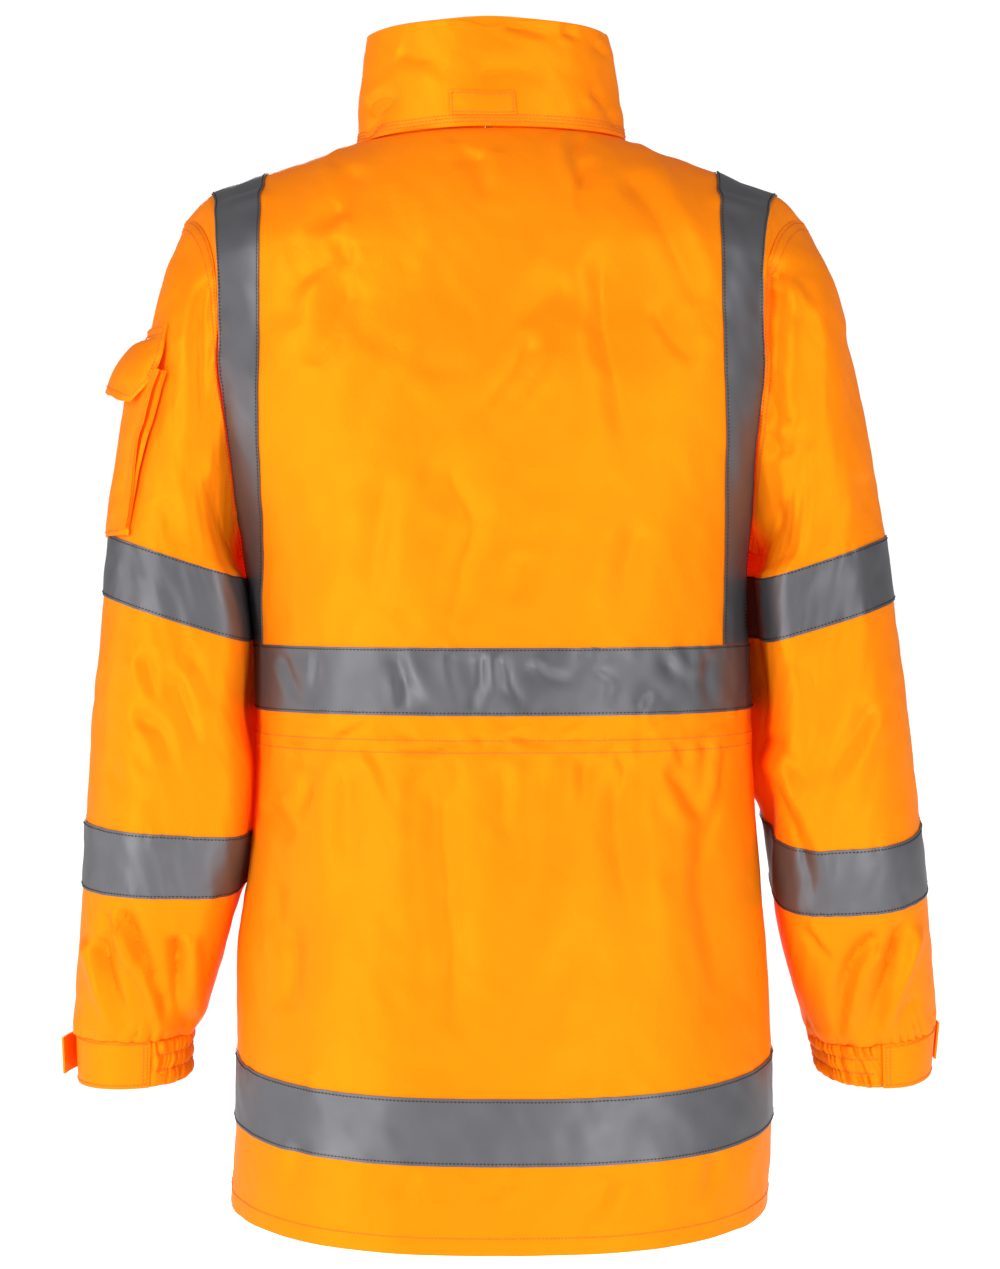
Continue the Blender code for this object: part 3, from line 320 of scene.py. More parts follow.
# Creases given one by one, in millimetres: half width, depth, bank (how much of the depth stands up beside
# the trough, and on which side), then the points (x, z) that it runs through from its seam.
BACK_CREASES = (
    (8, 2.4, -0.8, (176, -38), (192, -42), (208, -46), (224, -51)),
    (8, 2.4, 0.8, (-160, -40), (-180, -43), (-198, -46), (-212, -50)),
    (7, 2.4, 0.7, (-65, -1), (-56, -17), (-61, -40), (-64, -50)),
    (8, 2.2, -0.6, (120, -60), (132, -70), (145, -81)),
    (7, 1.4, 0.6, (111, -95), (116, -112), (130, -128), (140, -143)),
    (9, 3.0, -0.5, (19, -20), (16, -39), (10, -60)),
    (7, 1.8, 0.4, (25, -18), (29, -26), (33, -35)),
    (6, 2.2, 0.5, (-72, -21), (-63, -39), (-60, -57), (-61, -71)),
    (15, 3.0, 0.5, (-80, -90), (-78, -132), (-86, -186), (-97, -231), (-112, -259)),
    (12, 3.0, -0.4, (-92, -31), (-114, -62), (-134, -101), (-151, -138)),
    (10, 1.8, 0.4, (-114, -132), (-131, -166), (-149, -182)),
    (19, 3.0, 0.4, (-55, -120), (-26, -144), (4, -168)),
    (12, 3.0, -0.4, (-24, -158), (-13, -186), (4, -208), (18, -228)),
    (12, 1.5, 0.3, (66, -186), (37, -189), (7, -186)),
    (12, 3.0, 0.5, (46, -248), (35, -276), (21, -304), (32, -343), (40, -391)),
    (14, 2.5, -0.4, (85, -259), (91, -315), (97, -363)),
    (10, 1.5, 0.4, (-18, -323), (-16, -342), (-13, -360)),
    (13, 2.0, 0.4, (-103, -300), (-94, -337), (-90, -381)),
    (11, 3.0, 0.5, (108, -28), (116, -57), (136, -90)),
    (9, 1.8, -0.4, (114, -87), (122, -101), (145, -118), (162, -132)),
    (14, 2.4, 0.5, (111, -118), (122, -155), (142, -183)),
    (12, 2.2, 0.4, (113, -476), (114, -520), (110, -581)),
    (15, 4.0, 0.5, (47, -474), (44, -542), (37, -616), (35, -677)),
    (9, 1.8, -0.4, (1, -475), (-1, -502), (-1, -531)),
    (9, 2.5, 0.4, (-63, -473), (-64, -491), (-62, -514)),
    (13, 2.8, -0.5, (-87, -476), (-90, -535), (-97, -579), (-103, -612)),
    (10, 1.6, 0.4, (-35, -478), (-34, -528), (-38, -564)),
    (9, 3.4, 0.5, (-127, -478), (-145, -506), (-156, -525), (-153, -568), (-169, -650)),
    (5, 2.0, 0.3, (-137, -465), (-138, -474), (-143, -485)),
    (5, 2.0, -0.3, (-153, -463), (-155, -472), (-159, -481)),
    (6, 3.0, 0.4, (-175, -463), (-171, -495), (-164, -522), (-153, -552)),
    (9, 3.0, -0.4, (178, -510), (166, -526), (153, -539)),
    (6, 2.5, 0.4, (147, -476), (140, -487), (145, -506), (151, -522)),
    (10, 3.0, 0.4, (161, -595), (157, -639), (162, -666)),
    (9, 2.0, -0.3, (169, -564), (171, -601), (175, -645)),
    (6, 1.5, 0.4, (59, -778), (72, -787), (85, -795)),
    (6, 1.5, -0.4, (-5, -781), (1, -790), (9, -798)),
    (7, 1.8, 0.4, (-161, -767), (-157, -785), (-150, -805)),
    (8, 1.5, 0.4, (147, -756), (150, -774), (157, -796)),
    (9, 1.5, -0.4, (-81, -778), (-76, -792), (-65, -810)),
    (5, 1.6, 0.6, (163, -398), (157, -416), (148, -436)),
    (4, 1.3, -0.5, (147, -396), (148, -404), (146, -412)),
    (4, 1.6, 0.5, (139, -396), (138, -410), (141, -436)),
    (6, 1.6, -0.6, (79, -397), (74, -408), (67, -424), (56, -438)),
    (4, 1.4, 0.5, (75, -412), (72, -426), (72, -440)),
    (5, 1.5, 0.6, (33, -397), (30, -412), (20, -440)),
    (6, 2.0, -0.6, (16, -396), (15, -414), (22, -440)),
    (5, 1.6, 0.5, (-1, -398), (-6, -420), (-19, -438)),
    (5, 1.5, -0.5, (-22, -404), (-34, -415), (-52, -419)),
    (4, 1.2, 0.4, (-73, -408), (-83, -420), (-78, -438)),
    (6, 1.6, -0.5, (-120, -400), (-134, -416), (-153, -422)),
    (5, 1.6, 0.5, (-157, -396), (-154, -416), (-158, -440)),
    (5, 1.4, 0.5, (-100, -440), (-112, -424), (-128, -431)),
    (3, 1.4, -0.5, (165, -461), (143, -461), (121, -463)),
    (4, 1.5, 0.5, (103, -467), (92, -478), (85, -494), (76, -512)),
    (4, 1.6, -0.5, (158, -470), (149, -482), (145, -500), (148, -516)),
    (4, 1.2, 0.5, (125, -457), (108, -450), (90, -440)),
    (3, 1.5, 0.5, (78, -469), (54, -468), (34, -464), (18, -459)),
    (3, 1.2, -0.4, (63, -462), (74, -458), (86, -459)),
    (4, 1.5, 0.5, (36, -472), (33, -488), (38, -506)),
    (3, 1.4, 0.5, (17, -459), (14, -464), (13, -470)),
    (3, 1.3, -0.4, (4, -468), (-8, -460), (-26, -457)),
    (4, 1.4, 0.5, (-9, -456), (-24, -463), (-41, -464)),
    (3, 1.3, -0.5, (-47, -464), (-58, -460), (-67, -461)),
    (4, 1.4, 0.5, (-86, -470), (-95, -488), (-93, -506)),
    (3, 1.3, -0.5, (-73, -470), (-80, -459), (-84, -455)),
    (4, 1.7, 0.5, (-141, -466), (-133, -481), (-127, -486), (-140, -499)),
    (4, 1.3, -0.5, (-151, -472), (-154, -488), (-151, -508)),
    (3, 1.3, 0.5, (-150, -461), (-163, -452), (-174, -449)),
    (3, 1.2, 0.4, (-113, -452), (-128, -446), (-140, -440)))
FRONT_CREASES = (
    (10, 2.5, 0.4, (88, -40), (92, -75), (104, -112)),
    (12, 3.0, -0.4, (142, -118), (118, -170), (104, -222)),
    (12, 3.0, 0.5, (172, -205), (138, -258), (98, -298)),
    (9, 2.0, 0.4, (30, -150), (36, -196), (33, -240)),
    (14, 4.0, 0.5, (72, -476), (80, -560), (84, -655)),
    (11, 3.0, -0.4, (124, -478), (129, -530), (126, -590)),
    (9, 2.5, 0.4, (30, -477), (32, -520), (29, -562)),
    (9, 3.0, 0.5, (160, -480), (168, -560), (170, -640)),
    (7, 1.8, 0.4, (90, -775), (96, -790), (104, -808)),
    (10, 2.5, -0.4, (-84, -38), (-96, -78), (-112, -120)),
    (12, 3.0, 0.4, (-146, -120), (-124, -172), (-112, -230)),
    (12, 3.0, -0.5, (-168, -212), (-132, -268), (-90, -312)),
    (9, 2.0, -0.4, (-28, -170), (-34, -214), (-30, -262)),
    (13, 4.0, -0.5, (-60, -476), (-69, -560), (-73, -640)),
    (10, 3.0, 0.4, (-116, -477), (-129, -535), (-140, -600)),
    (9, 2.5, -0.4, (-26, -477), (-28, -510), (-25, -548)),
    (9, 3.0, 0.5, (-163, -482), (-171, -560), (-170, -640)),
    (7, 1.8, -0.4, (-85, -776), (-92, -792), (-100, -808)))
SLEEVE_LEFT_CREASES = (
    (7, 2.5, 0.5, (270, -396), (264, -415), (259, -433)),
    (8, 3.0, -0.5, (248, -409), (236, -443), (225, -471)),
    (7, 2.5, 0.5, (236, -392), (226, -415), (215, -441)),
    (8, 3.0, 0.4, (279, -443), (256, -458), (248, -480)),
    (9, 2.0, -0.4, (301, -480), (285, -499), (266, -510)),
    (7, 6.0, 0.7, (310, -613), (305, -628), (298, -649), (291, -670), (285, -689)),
    (5, 3.4, -0.5, (303, -592), (299, -615), (297, -634)),
    (7, 5.6, 0.7, (295, -597), (284, -602), (275, -622), (265, -645), (257, -668), (253, -686)),
    (6, 3.6, -0.5, (284, -634), (276, -657), (269, -676), (266, -693)),
    (7, 5.8, -0.8, (247, -610), (246, -630), (246, -660), (243, -688)),
    (5, 1.5, 0.4, (261, -662), (257, -674), (259, -685)),
    (10, 4.0, -0.6, (223, -107), (224, -175), (221, -247)),
    (12, 2.5, 0.4, (239, -80), (244, -122), (247, -160)),
    (11, 2.0, 0.4, (218, -259), (212, -297), (205, -320)),
    (13, 2.0, -0.3, (256, -280), (251, -300), (250, -318)))
SLEEVE_RIGHT_CREASES = (
    (7, 2.5, 0.4, (-202, -247), (-219, -241), (-237, -233)),
    (9, 3.0, -0.4, (-284, -434), (-268, -460), (-246, -494)),
    (7, 2.0, 0.4, (-228, -400), (-237, -426), (-240, -457)),
    (10, 2.5, 0.4, (-204, -457), (-217, -480), (-233, -499)),
    (7, 5.6, -0.7, (-293, -612), (-278, -622), (-267, -641), (-262, -665), (-261, -694)),
    (7, 6.6, -0.8, (-311, -601), (-302, -634), (-292, -665), (-286, -697)),
    (4, 3.0, -0.5, (-230, -607), (-242, -622), (-253, -634)),
    (5, 2.0, 0.4, (-325, -664), (-316, -673), (-307, -683)),
    (11, 4.5, -0.7, (-212, -96), (-206, -130), (-204, -190), (-203, -250)),
    (14, -1.6, 0.1, (-232, -112), (-244, -135), (-245, -178), (-244, -223), (-251, -258), (-259, -288)),
    (9, 3.0, -0.6, (-202, -117), (-215, -133), (-229, -153)),
    (6, 2.2, 0.5, (-202, -212), (-213, -221), (-225, -218)),
    (6, 2.0, -0.5, (-203, -232), (-212, -243), (-226, -246)),
    (9, 1.8, -0.5, (-270, -140), (-271, -190), (-273, -240)),
    (12, 3.0, 0.4, (-210, -101), (-228, -118), (-237, -137)),
    (10, 2.0, -0.4, (-278, -259), (-280, -289), (-275, -320)),
    (8, 2.0, 0.4, (-209, -282), (-215, -304), (-219, -327)),
    (8, 3.5, -0.6, (-197, -480), (-211, -511), (-226, -540), (-233, -561), (-239, -592)),
    (14, 4.0, -0.2, (-192, -500), (-203, -525), (-215, -555), (-224, -590)))
SLEEVE_LEFT_FRONT_CREASES = (
    (11, 3.5, 0.5, (216, -120), (222, -180), (218, -240)),
    (11, 2.5, -0.4, (256, -130), (252, -180), (255, -230)),
    (9, 3.0, 0.5, (210, -420), (232, -452), (262, -470)),
    (9, 3.0, -0.4, (212, -470), (238, -492), (272, -500)),
    (8, 3.5, 0.5, (300, -600), (286, -640), (276, -676)),
    (9, 3.0, -0.4, (240, -604), (250, -642), (256, -676)))
SLEEVE_RIGHT_FRONT_CREASES = (
    (11, 3.5, -0.5, (-214, -110), (-222, -176), (-219, -244)),
    (11, 2.5, 0.4, (-254, -140), (-256, -186), (-250, -238)),
    (9, 3.0, -0.5, (-208, -410), (-234, -440), (-258, -462)),
    (9, 3.0, 0.4, (-214, -478), (-242, -496), (-276, -508)),
    (8, 3.5, -0.5, (-306, -602), (-294, -640), (-284, -678)),
    (9, 3.0, 0.4, (-246, -606), (-256, -642), (-262, -680)))
COLLAR_CREASES = (
    (5, 2.0, 0.5, (-4, 80), (-12, 78), (-38, 72)),
    (4, 1.8, 0.4, (-47, 76), (-54, 75), (-61, 70)),
    (4, 1.8, -0.4, (-72, 70), (-78, 66), (-82, 60)),
    (6, 2.4, 0.5, (-70, 34), (-78, 26), (-81, 16)),
    (6, 2.2, -0.4, (-82, 18), (-88, 12), (-92, 4)),
    (6, 2.6, 0.5, (107, -4), (98, 6), (89, 12)),
    (8, 2.6, -0.4, (103, 18), (90, 24), (78, 27)),
    (9, 1.6, 0.4, (80, 62), (64, 56), (40, 52)),
    (10, 1.5, -0.4, (20, 40), (-10, 44), (-40, 38)))
CREASES = {"back": BACK_CREASES, "front": FRONT_CREASES, "sleeve_left": SLEEVE_LEFT_CREASES,
           "sleeve_right": SLEEVE_RIGHT_CREASES, "sleeve_left_front": SLEEVE_LEFT_FRONT_CREASES,
           "sleeve_right_front": SLEEVE_RIGHT_FRONT_CREASES}
SPINE_POINTS = 25  # points along a crease that its distance is measured to
# A crease's section and run, in its half widths and as parts of its length.
CREASE_REACH = 4  # how far out it is worked out at all
TROUGH = (1.25, 1.35)  # how steep its trough is, and the power that crisps its floor
BANK = (1.5, 0.85)  # where the bank beside it stands, and how wide
CREASE_START = 0.18  # how soon it reaches its depth
CREASE_END = (2.2, 0.8)  # the powers by which it runs out

# Lines of sewing that draw up the cloth. On the body: row, height of its puckers, and reach.
PUCKERED_ROWS = ((0.19, 0.0005, 0.008), (1.0, 0.0006, 0.012), (2.0, 0.0007, 0.014), (5.45, 0.0016, 0.014),
                 (5.63, 0.0014, 0.009), (6.0, 0.001, 0.01), (7.0, 0.001, 0.014))
ROW_PUCKER_PITCH = 0.011
SIDE_PUCKERS = (0.012, 0.0008, 0.01)  # pitch, height and reach along the side seams and armholes
TOP_PUCKERS = (0.01, 0.0008, 0.014)  # and along the neck and shoulder seams
# On the sleeves: hoop, height and reach, for puckers that go round the arm a whole number of times.
SLEEVE_PUCKERED_HOOPS = ((0, 0.0011, 0.016), (5, 0.0008, 0.01), (6, 0.0008, 0.014), (9, 0.0008, 0.012),
                         (10, 0.0008, 0.012), (13, 0.0024, 0.024))
SLEEVE_PUCKERS_ROUND = 44
SLEEVE_WRAP = 0.6  # how long the run round an arm is taken to be for them
# On the collar: row, and the pitch, height and reach of both.
COLLAR_PUCKERED_ROWS = (0.0, 3.0)
COLLAR_PUCKERS = (0.009, 0.0006, 0.01)
CASING_ROWS = (5.63, 5.45)  # body rows of the drawcord casing's stitches
HEM_ROW = 0.19  # body row of the hem's stitches
FRONT_EDGE_STITCHES = (0.16, 0.38)  # body columns of the stitches beside the zip

# Layers of the cloth's unevenness: the property that gives its height, its share of that, how far it slants
# and runs with the length of cloth, and its cell across and along.
BODY_LAYERS = (
    ("wave", 1.0, 0.0, 1.0, (0.055, 0.085)),
    ("wave", 0.4, 0.4, 1.0, (0.022, 0.045)),
    ("crinkle", 1.0, -0.3, 1.0, (0.012, 0.017)))
SLEEVE_LAYERS = (
    ("wave", 0.8, 0.3, 1.0, (0.05, 0.06)),
    ("wave", 0.3, -0.5, 1.0, (0.02, 0.026)),
    ("crinkle", 1.0, 0.0, 1.1, (0.01, 0.012)))
# Dents of the smaller pieces: their height, and their cell across and along.
COLLAR_LAYERS = ((0.001, (0.035, 0.03)), (0.0004, (0.012, 0.014)))
LINING_LAYER = (0.0006, (0.03, 0.02))
BAND_LAYER = (0.0004, (0.02, 0.02))
POCKET_LAYER = (0.0008, (0.02, 0.028))
FLAP_LAYER = (0.0006, (0.025, 0.02))
NET_START = 3  # metres from a random net's origin to a piece's first column
LINING_NET_START = 5
# The random nets' numbers. A piece's further nets count on from its own.
SEEDS = {"back": 11, "front_left": 23, "front_right": 37, "sleeve_left": 51, "sleeve_right": 71,
         "collar": 91, "collar_rows": 95, "elastic": 131, "band": 141, "pocket": 151, "flap": 152}
ROW_SEED, SIDE_SEED, TOP_SEED = 10, 30, 31
# How wide a strip beside each seam the relief takes to rise.
FLAT_AT_SIDE, FLAT_AT_TOP, FLAT_AT_ARMHOLE, FLAT_AT_NECKLINE = 0.007, 0.008, 0.006, 0.004
Relief = collections.namedtuple("Relief", ("fold_depth", "wave", "crinkle"))


# ---- colours and properties
def hex_linear(code):
    """An sRGB hex colour as linear red, green and blue."""
    values = [int(code[place:place + 2], 16) / 255 for place in (1, 3, 5)]
    return [value / 12.92 if value <= 0.04045 else ((value + 0.055) / 1.055) ** 2.4 for value in values]


def length(label, description, default):
    """A length that the user can change."""
    return FloatProperty(name=label, description=description, default=default, min=0, unit="LENGTH",
                         precision=5)


def share(label, description, default):
    """A plain factor that the user can change."""
    return FloatProperty(name=label, description=description, default=default, min=0)


def colour(label, description, code):
    """A colour that the user can change, given as sRGB hex."""
    return FloatVectorProperty(name=label, description=description, default=hex_linear(code),
                               min=0, max=1, size=3, subtype="COLOR")


class JacketCloth(bpy.types.PropertyGroup):
    """Sizes of the jacket's cloth and sewing."""
    cloth_wall: length("Cloth", "Thickness of the coated outer cloth with its backing", 0.0016)
    tape_wall: length("Tape", "Thickness of the reflective tape", 0.0008)
    fold_depth: share("Fold depth", "Depth of every crease, as a part of the modelled one", 1.7)
    crinkle: length("Crinkle", "Height of the cloth's fine unevenness", 0.0005)
    wave: length("Wave", "Height of the cloth's wide unevenness", 0.0015)
    stitch_pitch: length("Stitch pitch", "From one stitch to the next", 0.0028)
    stitch_length: length("Stitch length", "Visible length of one stitch", 0.002)
    thread_width: length("Thread", "Width of the sewing thread as it lies", 0.0011)
    pleat_width: length("Cuff pleats", "Usual width of a pleat in the gathered cuffs", 0.0065)
    tooth_pitch: length("Zip pitch", "From one zip tooth to the next", 0.0016)


class JacketColours(bpy.types.PropertyGroup):
    """Colours of the jacket's finishes."""
    orange: colour("Orange cloth", "Fluorescent orange of the satin cloth", "#FF8E10")
    orange_deep: colour("Deep orange", "The cloth's colour where its dye is denser", "#FF880C")
    # glow is painted light: a steady red-orange glow of the cloth that stands in for the dye's fluorescence
    # and reddens its shade.
    glow: colour("Painted red glow", "Red-orange light that the fluorescent dye gives off", "#FF3400")
    tape: colour("Tape", "Silver grey of the reflective tape", "#69696D")
    tape_thread: colour("Tape thread", "Thread that holds the tapes", "#1B1918")
    cloth_thread: colour("Cloth thread", "Thread of the cloth's own seams", "#EA7204")
    zip_plastic: colour("Zip teeth", "Moulded zip teeth", "#F98614")
    zip_nickel: colour("Zip metal", "Nickel plate of slider and pull", "#6F6D6A")
    floor: colour("Floor", "Pale studio floor", "#F4F4F4")


class JacketStudio(bpy.types.PropertyGroup):
    """Camera and floor."""
    distance: length("Camera distance", "From the jacket's middle to the camera, straight behind it", 2.4)
    height: FloatProperty(
        name="Camera height", description="Height of the camera, level with the jacket's middle",
        default=-0.384, unit="LENGTH")
    lens: FloatProperty(
        name="Lens", description="Focal length that frames the jacket from hem to collar",
        default=87.23, unit="CAMERA")
    floor_height: FloatProperty(
        name="Floor height", description="Height of the floor, below the hanging hem",
        default=-1.3, unit="LENGTH")


# ---- curves and noise
def eased(values, stops):
    """Rows of values read at stops between them, on a smooth curve that never overshoots a row."""
    step = np.diff(values, axis=0)
    both = step[:-1] * step[1:]
    total = step[:-1] + step[1:]
    inner = np.where(both > 0, 2 * both / np.where(both > 0, total, 1), 0)
    slope = np.concatenate([step[:1], inner, step[-1:]])
    low = np.clip(np.floor(stops).astype(int), 0, len(values) - 2)
    part = (stops - low).reshape(-1, *[1] * (values.ndim - 1))
    start, end = values[low], values[low + 1]
    return (start + (end - start) * part ** 2 * (3 - 2 * part)
            + slope[low] * part * (1 - part) ** 2 - slope[low + 1] * part ** 2 * (1 - part))


def smooth(value):
    """Zero to one on a soft step as value goes from zero to one."""
    value = np.clip(value, 0, 1)
    return value * value * (3 - 2 * value)


def ripples(across, along, cell, seed):
    """Soft random heights from -1 to 1 on a net whose cells have the given size across and along."""
    net = np.random.default_rng(seed).uniform(-1, 1, (64, 64))
    across, along = np.broadcast_arrays(across / cell[0], along / cell[1])
    column, row = np.floor(across).astype(int), np.floor(along).astype(int)
    right, up = smooth(across - column), smooth(along - row)

    def corner(d_column, d_row):
        return net[(column + d_column) % 64, (row + d_row) % 64]

    low = corner(0, 0) * (1 - right) + corner(1, 0) * right
    high = corner(0, 1) * (1 - right) + corner(1, 1) * right
    return low * (1 - up) + high * up


def unit(vectors):
    """Vectors brought to length one."""
    return vectors / np.maximum(np.linalg.norm(vectors, axis=-1, keepdims=True), 1e-12)


def points_at(stops, run, points):
    """Points of a line, or its normals, read at the given lengths of its run."""
    return np.stack([np.interp(stops, run, points[:, axis]) for axis in range(3)], -1)


def outward(grid, inside, closed=False):
    """Unit normals of a grid that point away from the inside points."""
    net = np.concatenate([grid[:, -2:-1], grid, grid[:, 1:2]], axis=1) if closed else grid
    normal = np.cross(np.gradient(net, axis=1), np.gradient(net, axis=0))
    normal = unit(normal[:, 1:-1] if closed else normal)
    return normal * np.sign(np.sum(normal * (grid - inside)))


class Surface:
    """The outer face of a cloth piece: points in rows and columns, with the stops that they lie at."""

    def __init__(self, grid, rows, columns, inside, closed=False):
        self.grid, self.rows, self.columns = grid, np.asarray(rows), np.asarray(columns)
        self.inside, self.closed = np.broadcast_to(inside, grid.shape), closed
        self.normals = outward(grid, self.inside, closed)

    def moved(self, height):
        """The same face pushed out along its normals."""
        height = np.broadcast_to(height, self.grid.shape[:2])[..., None]
        return Surface(self.grid + self.normals * height, self.rows, self.columns, self.inside, self.closed)

    def part(self, rows=None, columns=None):
        """The stretch of the face between two row stops and two column stops."""
        def chosen(stops, span):
            first, last = (-math.inf, math.inf) if span is None else span
            return (stops > first - 1e-6) & (stops < last + 1e-6)

        row_mask, column_mask = chosen(self.rows, rows), chosen(self.columns, columns)
        pick = np.ix_(row_mask, column_mask)
        return Surface(self.grid[pick], self.rows[row_mask], self.columns[column_mask], self.inside[pick],
                       self.closed and columns is None)

    def at(self, rows, columns):
        """Points and normals at any stops."""
        rows, columns = np.broadcast_arrays(np.asarray(rows, float), np.asarray(columns, float))
        row = np.interp(rows, self.rows, np.arange(len(self.rows)))
        column = np.interp(columns, self.columns, np.arange(len(self.columns)))
        low_row = np.clip(row.astype(int), 0, len(self.rows) - 2)
        low_column = np.clip(column.astype(int), 0, len(self.columns) - 2)
        up, right = (row - low_row)[..., None], (column - low_column)[..., None]
        found = []
        for field in (self.grid, self.normals):
            near = field[low_row, low_column] * (1 - right) + field[low_row, low_column + 1] * right
            far = field[low_row + 1, low_column] * (1 - right) + field[low_row + 1, low_column + 1] * right
            found.append(near * (1 - up) + far * up)
        return found[0], unit(found[1])

    def across(self):
        """Length of cloth along each row, from its first column."""
        run = np.cumsum(np.linalg.norm(np.diff(self.grid, axis=1), axis=2), axis=1)
        return np.concatenate([np.zeros((len(self.rows), 1)), run], axis=1)

    def along(self):
        """Length of cloth up each column, from its first row."""
        run = np.cumsum(np.linalg.norm(np.diff(self.grid, axis=0), axis=2), axis=0)
        return np.concatenate([np.zeros((1, len(self.columns))), run], axis=0)


def distance_to_row(face, along, stop):
    """How far each point lies from the row at a stop, by length of cloth."""
    place = np.interp(stop, face.rows, np.arange(len(face.rows)))
    low = min(int(place), len(face.rows) - 2)
    line = along[low] * (1 - place + low) + along[low + 1] * (place - low)
    return np.abs(along - line)


# ---- creases
def crease_height(x, z, crease):
    """Height of one crease at points (x, z) in millimetres: a trough with a crisp floor and its bank."""
    half_width, depth, bank, *points = crease
    spine = eased(np.array(points, float), np.linspace(0, len(points) - 1, SPINE_POINTS))
    reach = half_width * CREASE_REACH
    near = ((x > spine[:, 0].min() - reach) & (x < spine[:, 0].max() + reach)
            & (z > spine[:, 1].min() - reach) & (z < spine[:, 1].max() + reach))
    height = np.zeros(x.shape)
    px, pz = x[near][:, None], z[near][:, None]
    start, step = spine[:-1], np.diff(spine, axis=0)
    size = np.linalg.norm(step, axis=1)
    part = np.clip(((px - start[:, 0]) * step[:, 0] + (pz - start[:, 1]) * step[:, 1]) / size ** 2, 0, 1)
    off_x, off_z = px - start[:, 0] - part * step[:, 0], pz - start[:, 1] - part * step[:, 1]
    gap = np.hypot(off_x, off_z)
    nearest = np.argmin(gap, axis=1)
    pick = (np.arange(len(nearest)), nearest)
    turned = np.sign(step[nearest, 0] * off_z[pick] - step[nearest, 1] * off_x[pick])
    off = gap[pick] * turned / half_width
    place = (nearest + part[pick]) / (SPINE_POINTS - 1)
    taper = smooth(place / CREASE_START) * (1 - place ** CREASE_END[0]) ** CREASE_END[1]
    trough = np.exp(-TROUGH[0] * np.abs(off) ** TROUGH[1])
    side = math.copysign(1, bank)
    ridge = abs(bank) * np.exp(-((off * side - BANK[0]) / BANK[1]) ** 2)
    height[near] = depth * taper * (ridge - trough)
    return height / 1000


def soft_fold_height(x, z, folds):
    """Height of the large soft folds, in metres."""
    height = np.zeros(x.shape)
    for x0, z0, x1, z1, width, depth in zip(*(folds[name] for name in FOLD)):
        span = (x1 - x0) ** 2 + (z1 - z0) ** 2
        part = np.clip(((x - x0) * (x1 - x0) + (z - z0) * (z1 - z0)) / span, 0, 1)
        off = np.hypot(x - x0 - part * (x1 - x0), z - z0 - part * (z1 - z0))
        wave = np.sin(math.pi * (FOLD_END + (1 - 2 * FOLD_END) * part))
        height -= depth * np.exp(-(off / width) ** 2) * wave
    return height * SOFT_FOLD_SHARE


def creased(grid, creases):
    """Height of all the given creases over a grid."""
    x, z = grid[..., 0] * 1000, grid[..., 2] * 1000
    return sum(crease_height(x, z, crease) for crease in creases)


def puckers(across, off, pitch, height, reach, seed):
    """Cloth drawn up by a line of sewing: crisp valleys and round bumps that lean and die away from it."""
    leaning = across + off * 0.8 * ripples(across, 0 * off, (pitch * 2.3, 1), seed + 1)
    valleys = 2 * np.abs(ripples(leaning, off, (pitch, reach * 2.2), seed)) ** 0.6 - 1
    strength = 0.55 + 0.45 * ripples(across, 0 * off, (pitch * 3.1, 1), seed + 2)
    return height * valleys * strength * np.exp(-(off / reach) ** 1.3)


def layers_of(relief, layers, across, start, along, seed):
    """The height of each layer of unevenness, on nets that run with the length of cloth."""
    for number, (kind, part, slant, run, cell) in enumerate(layers):
        net = ripples(across + along * slant, start + along * run, cell, seed + number)
        yield getattr(relief, kind) * part * net


# ---- the body's form
def ring(level, turn, face):
    """Points of a level ring. turn runs in radians from the centre line, positive to the left."""
    power = 2 / level["roundness"]
    across, away = np.sin(turn), np.abs(np.cos(turn))
    x = level["shift"] + level["half_width"] * np.sign(across) * np.abs(across) ** power
    y = face * level["back" if face > 0 else "front"] * away ** power
    z = level["z"] - (level["tail"] * away if face > 0 else 0 * away)
    return np.stack([x, y, z], -1)


def body_row(level, face, side, columns):
    """One row of a half panel from the centre line to the side seam or armhole, by length of cloth."""
    depth, edge_y = (level[name] for name in (("back", "arm_back") if face > 0 else ("front", "arm_front")))
    last_turn = math.acos((edge_y / depth) ** (level["roundness"] / 2))
    fine = ring(level, side * np.linspace(0, last_turn, RING_SAMPLES), face)
    run = np.concatenate([[0], np.cumsum(np.linalg.norm(np.diff(fine, axis=0), axis=1))])
    off_centre = np.abs(fine[:, 0] - level["shift"])
    start = 0 if face > 0 else ZIP_HALF_OPENING
    inner = np.interp(BRACE_INSIDE + side * level["brace_lean"], off_centre, run)
    outer = min(inner + TAPE_WIDTH, run[-1] - TAPE_TO_ARMHOLE)
    marks = (0, CENTRE_COLUMNS, BRACE_COLUMNS, EDGE_COLUMN)
    stops = np.interp(columns, marks, (start, inner, outer, run[-1]))
    return points_at(stops, run, fine)


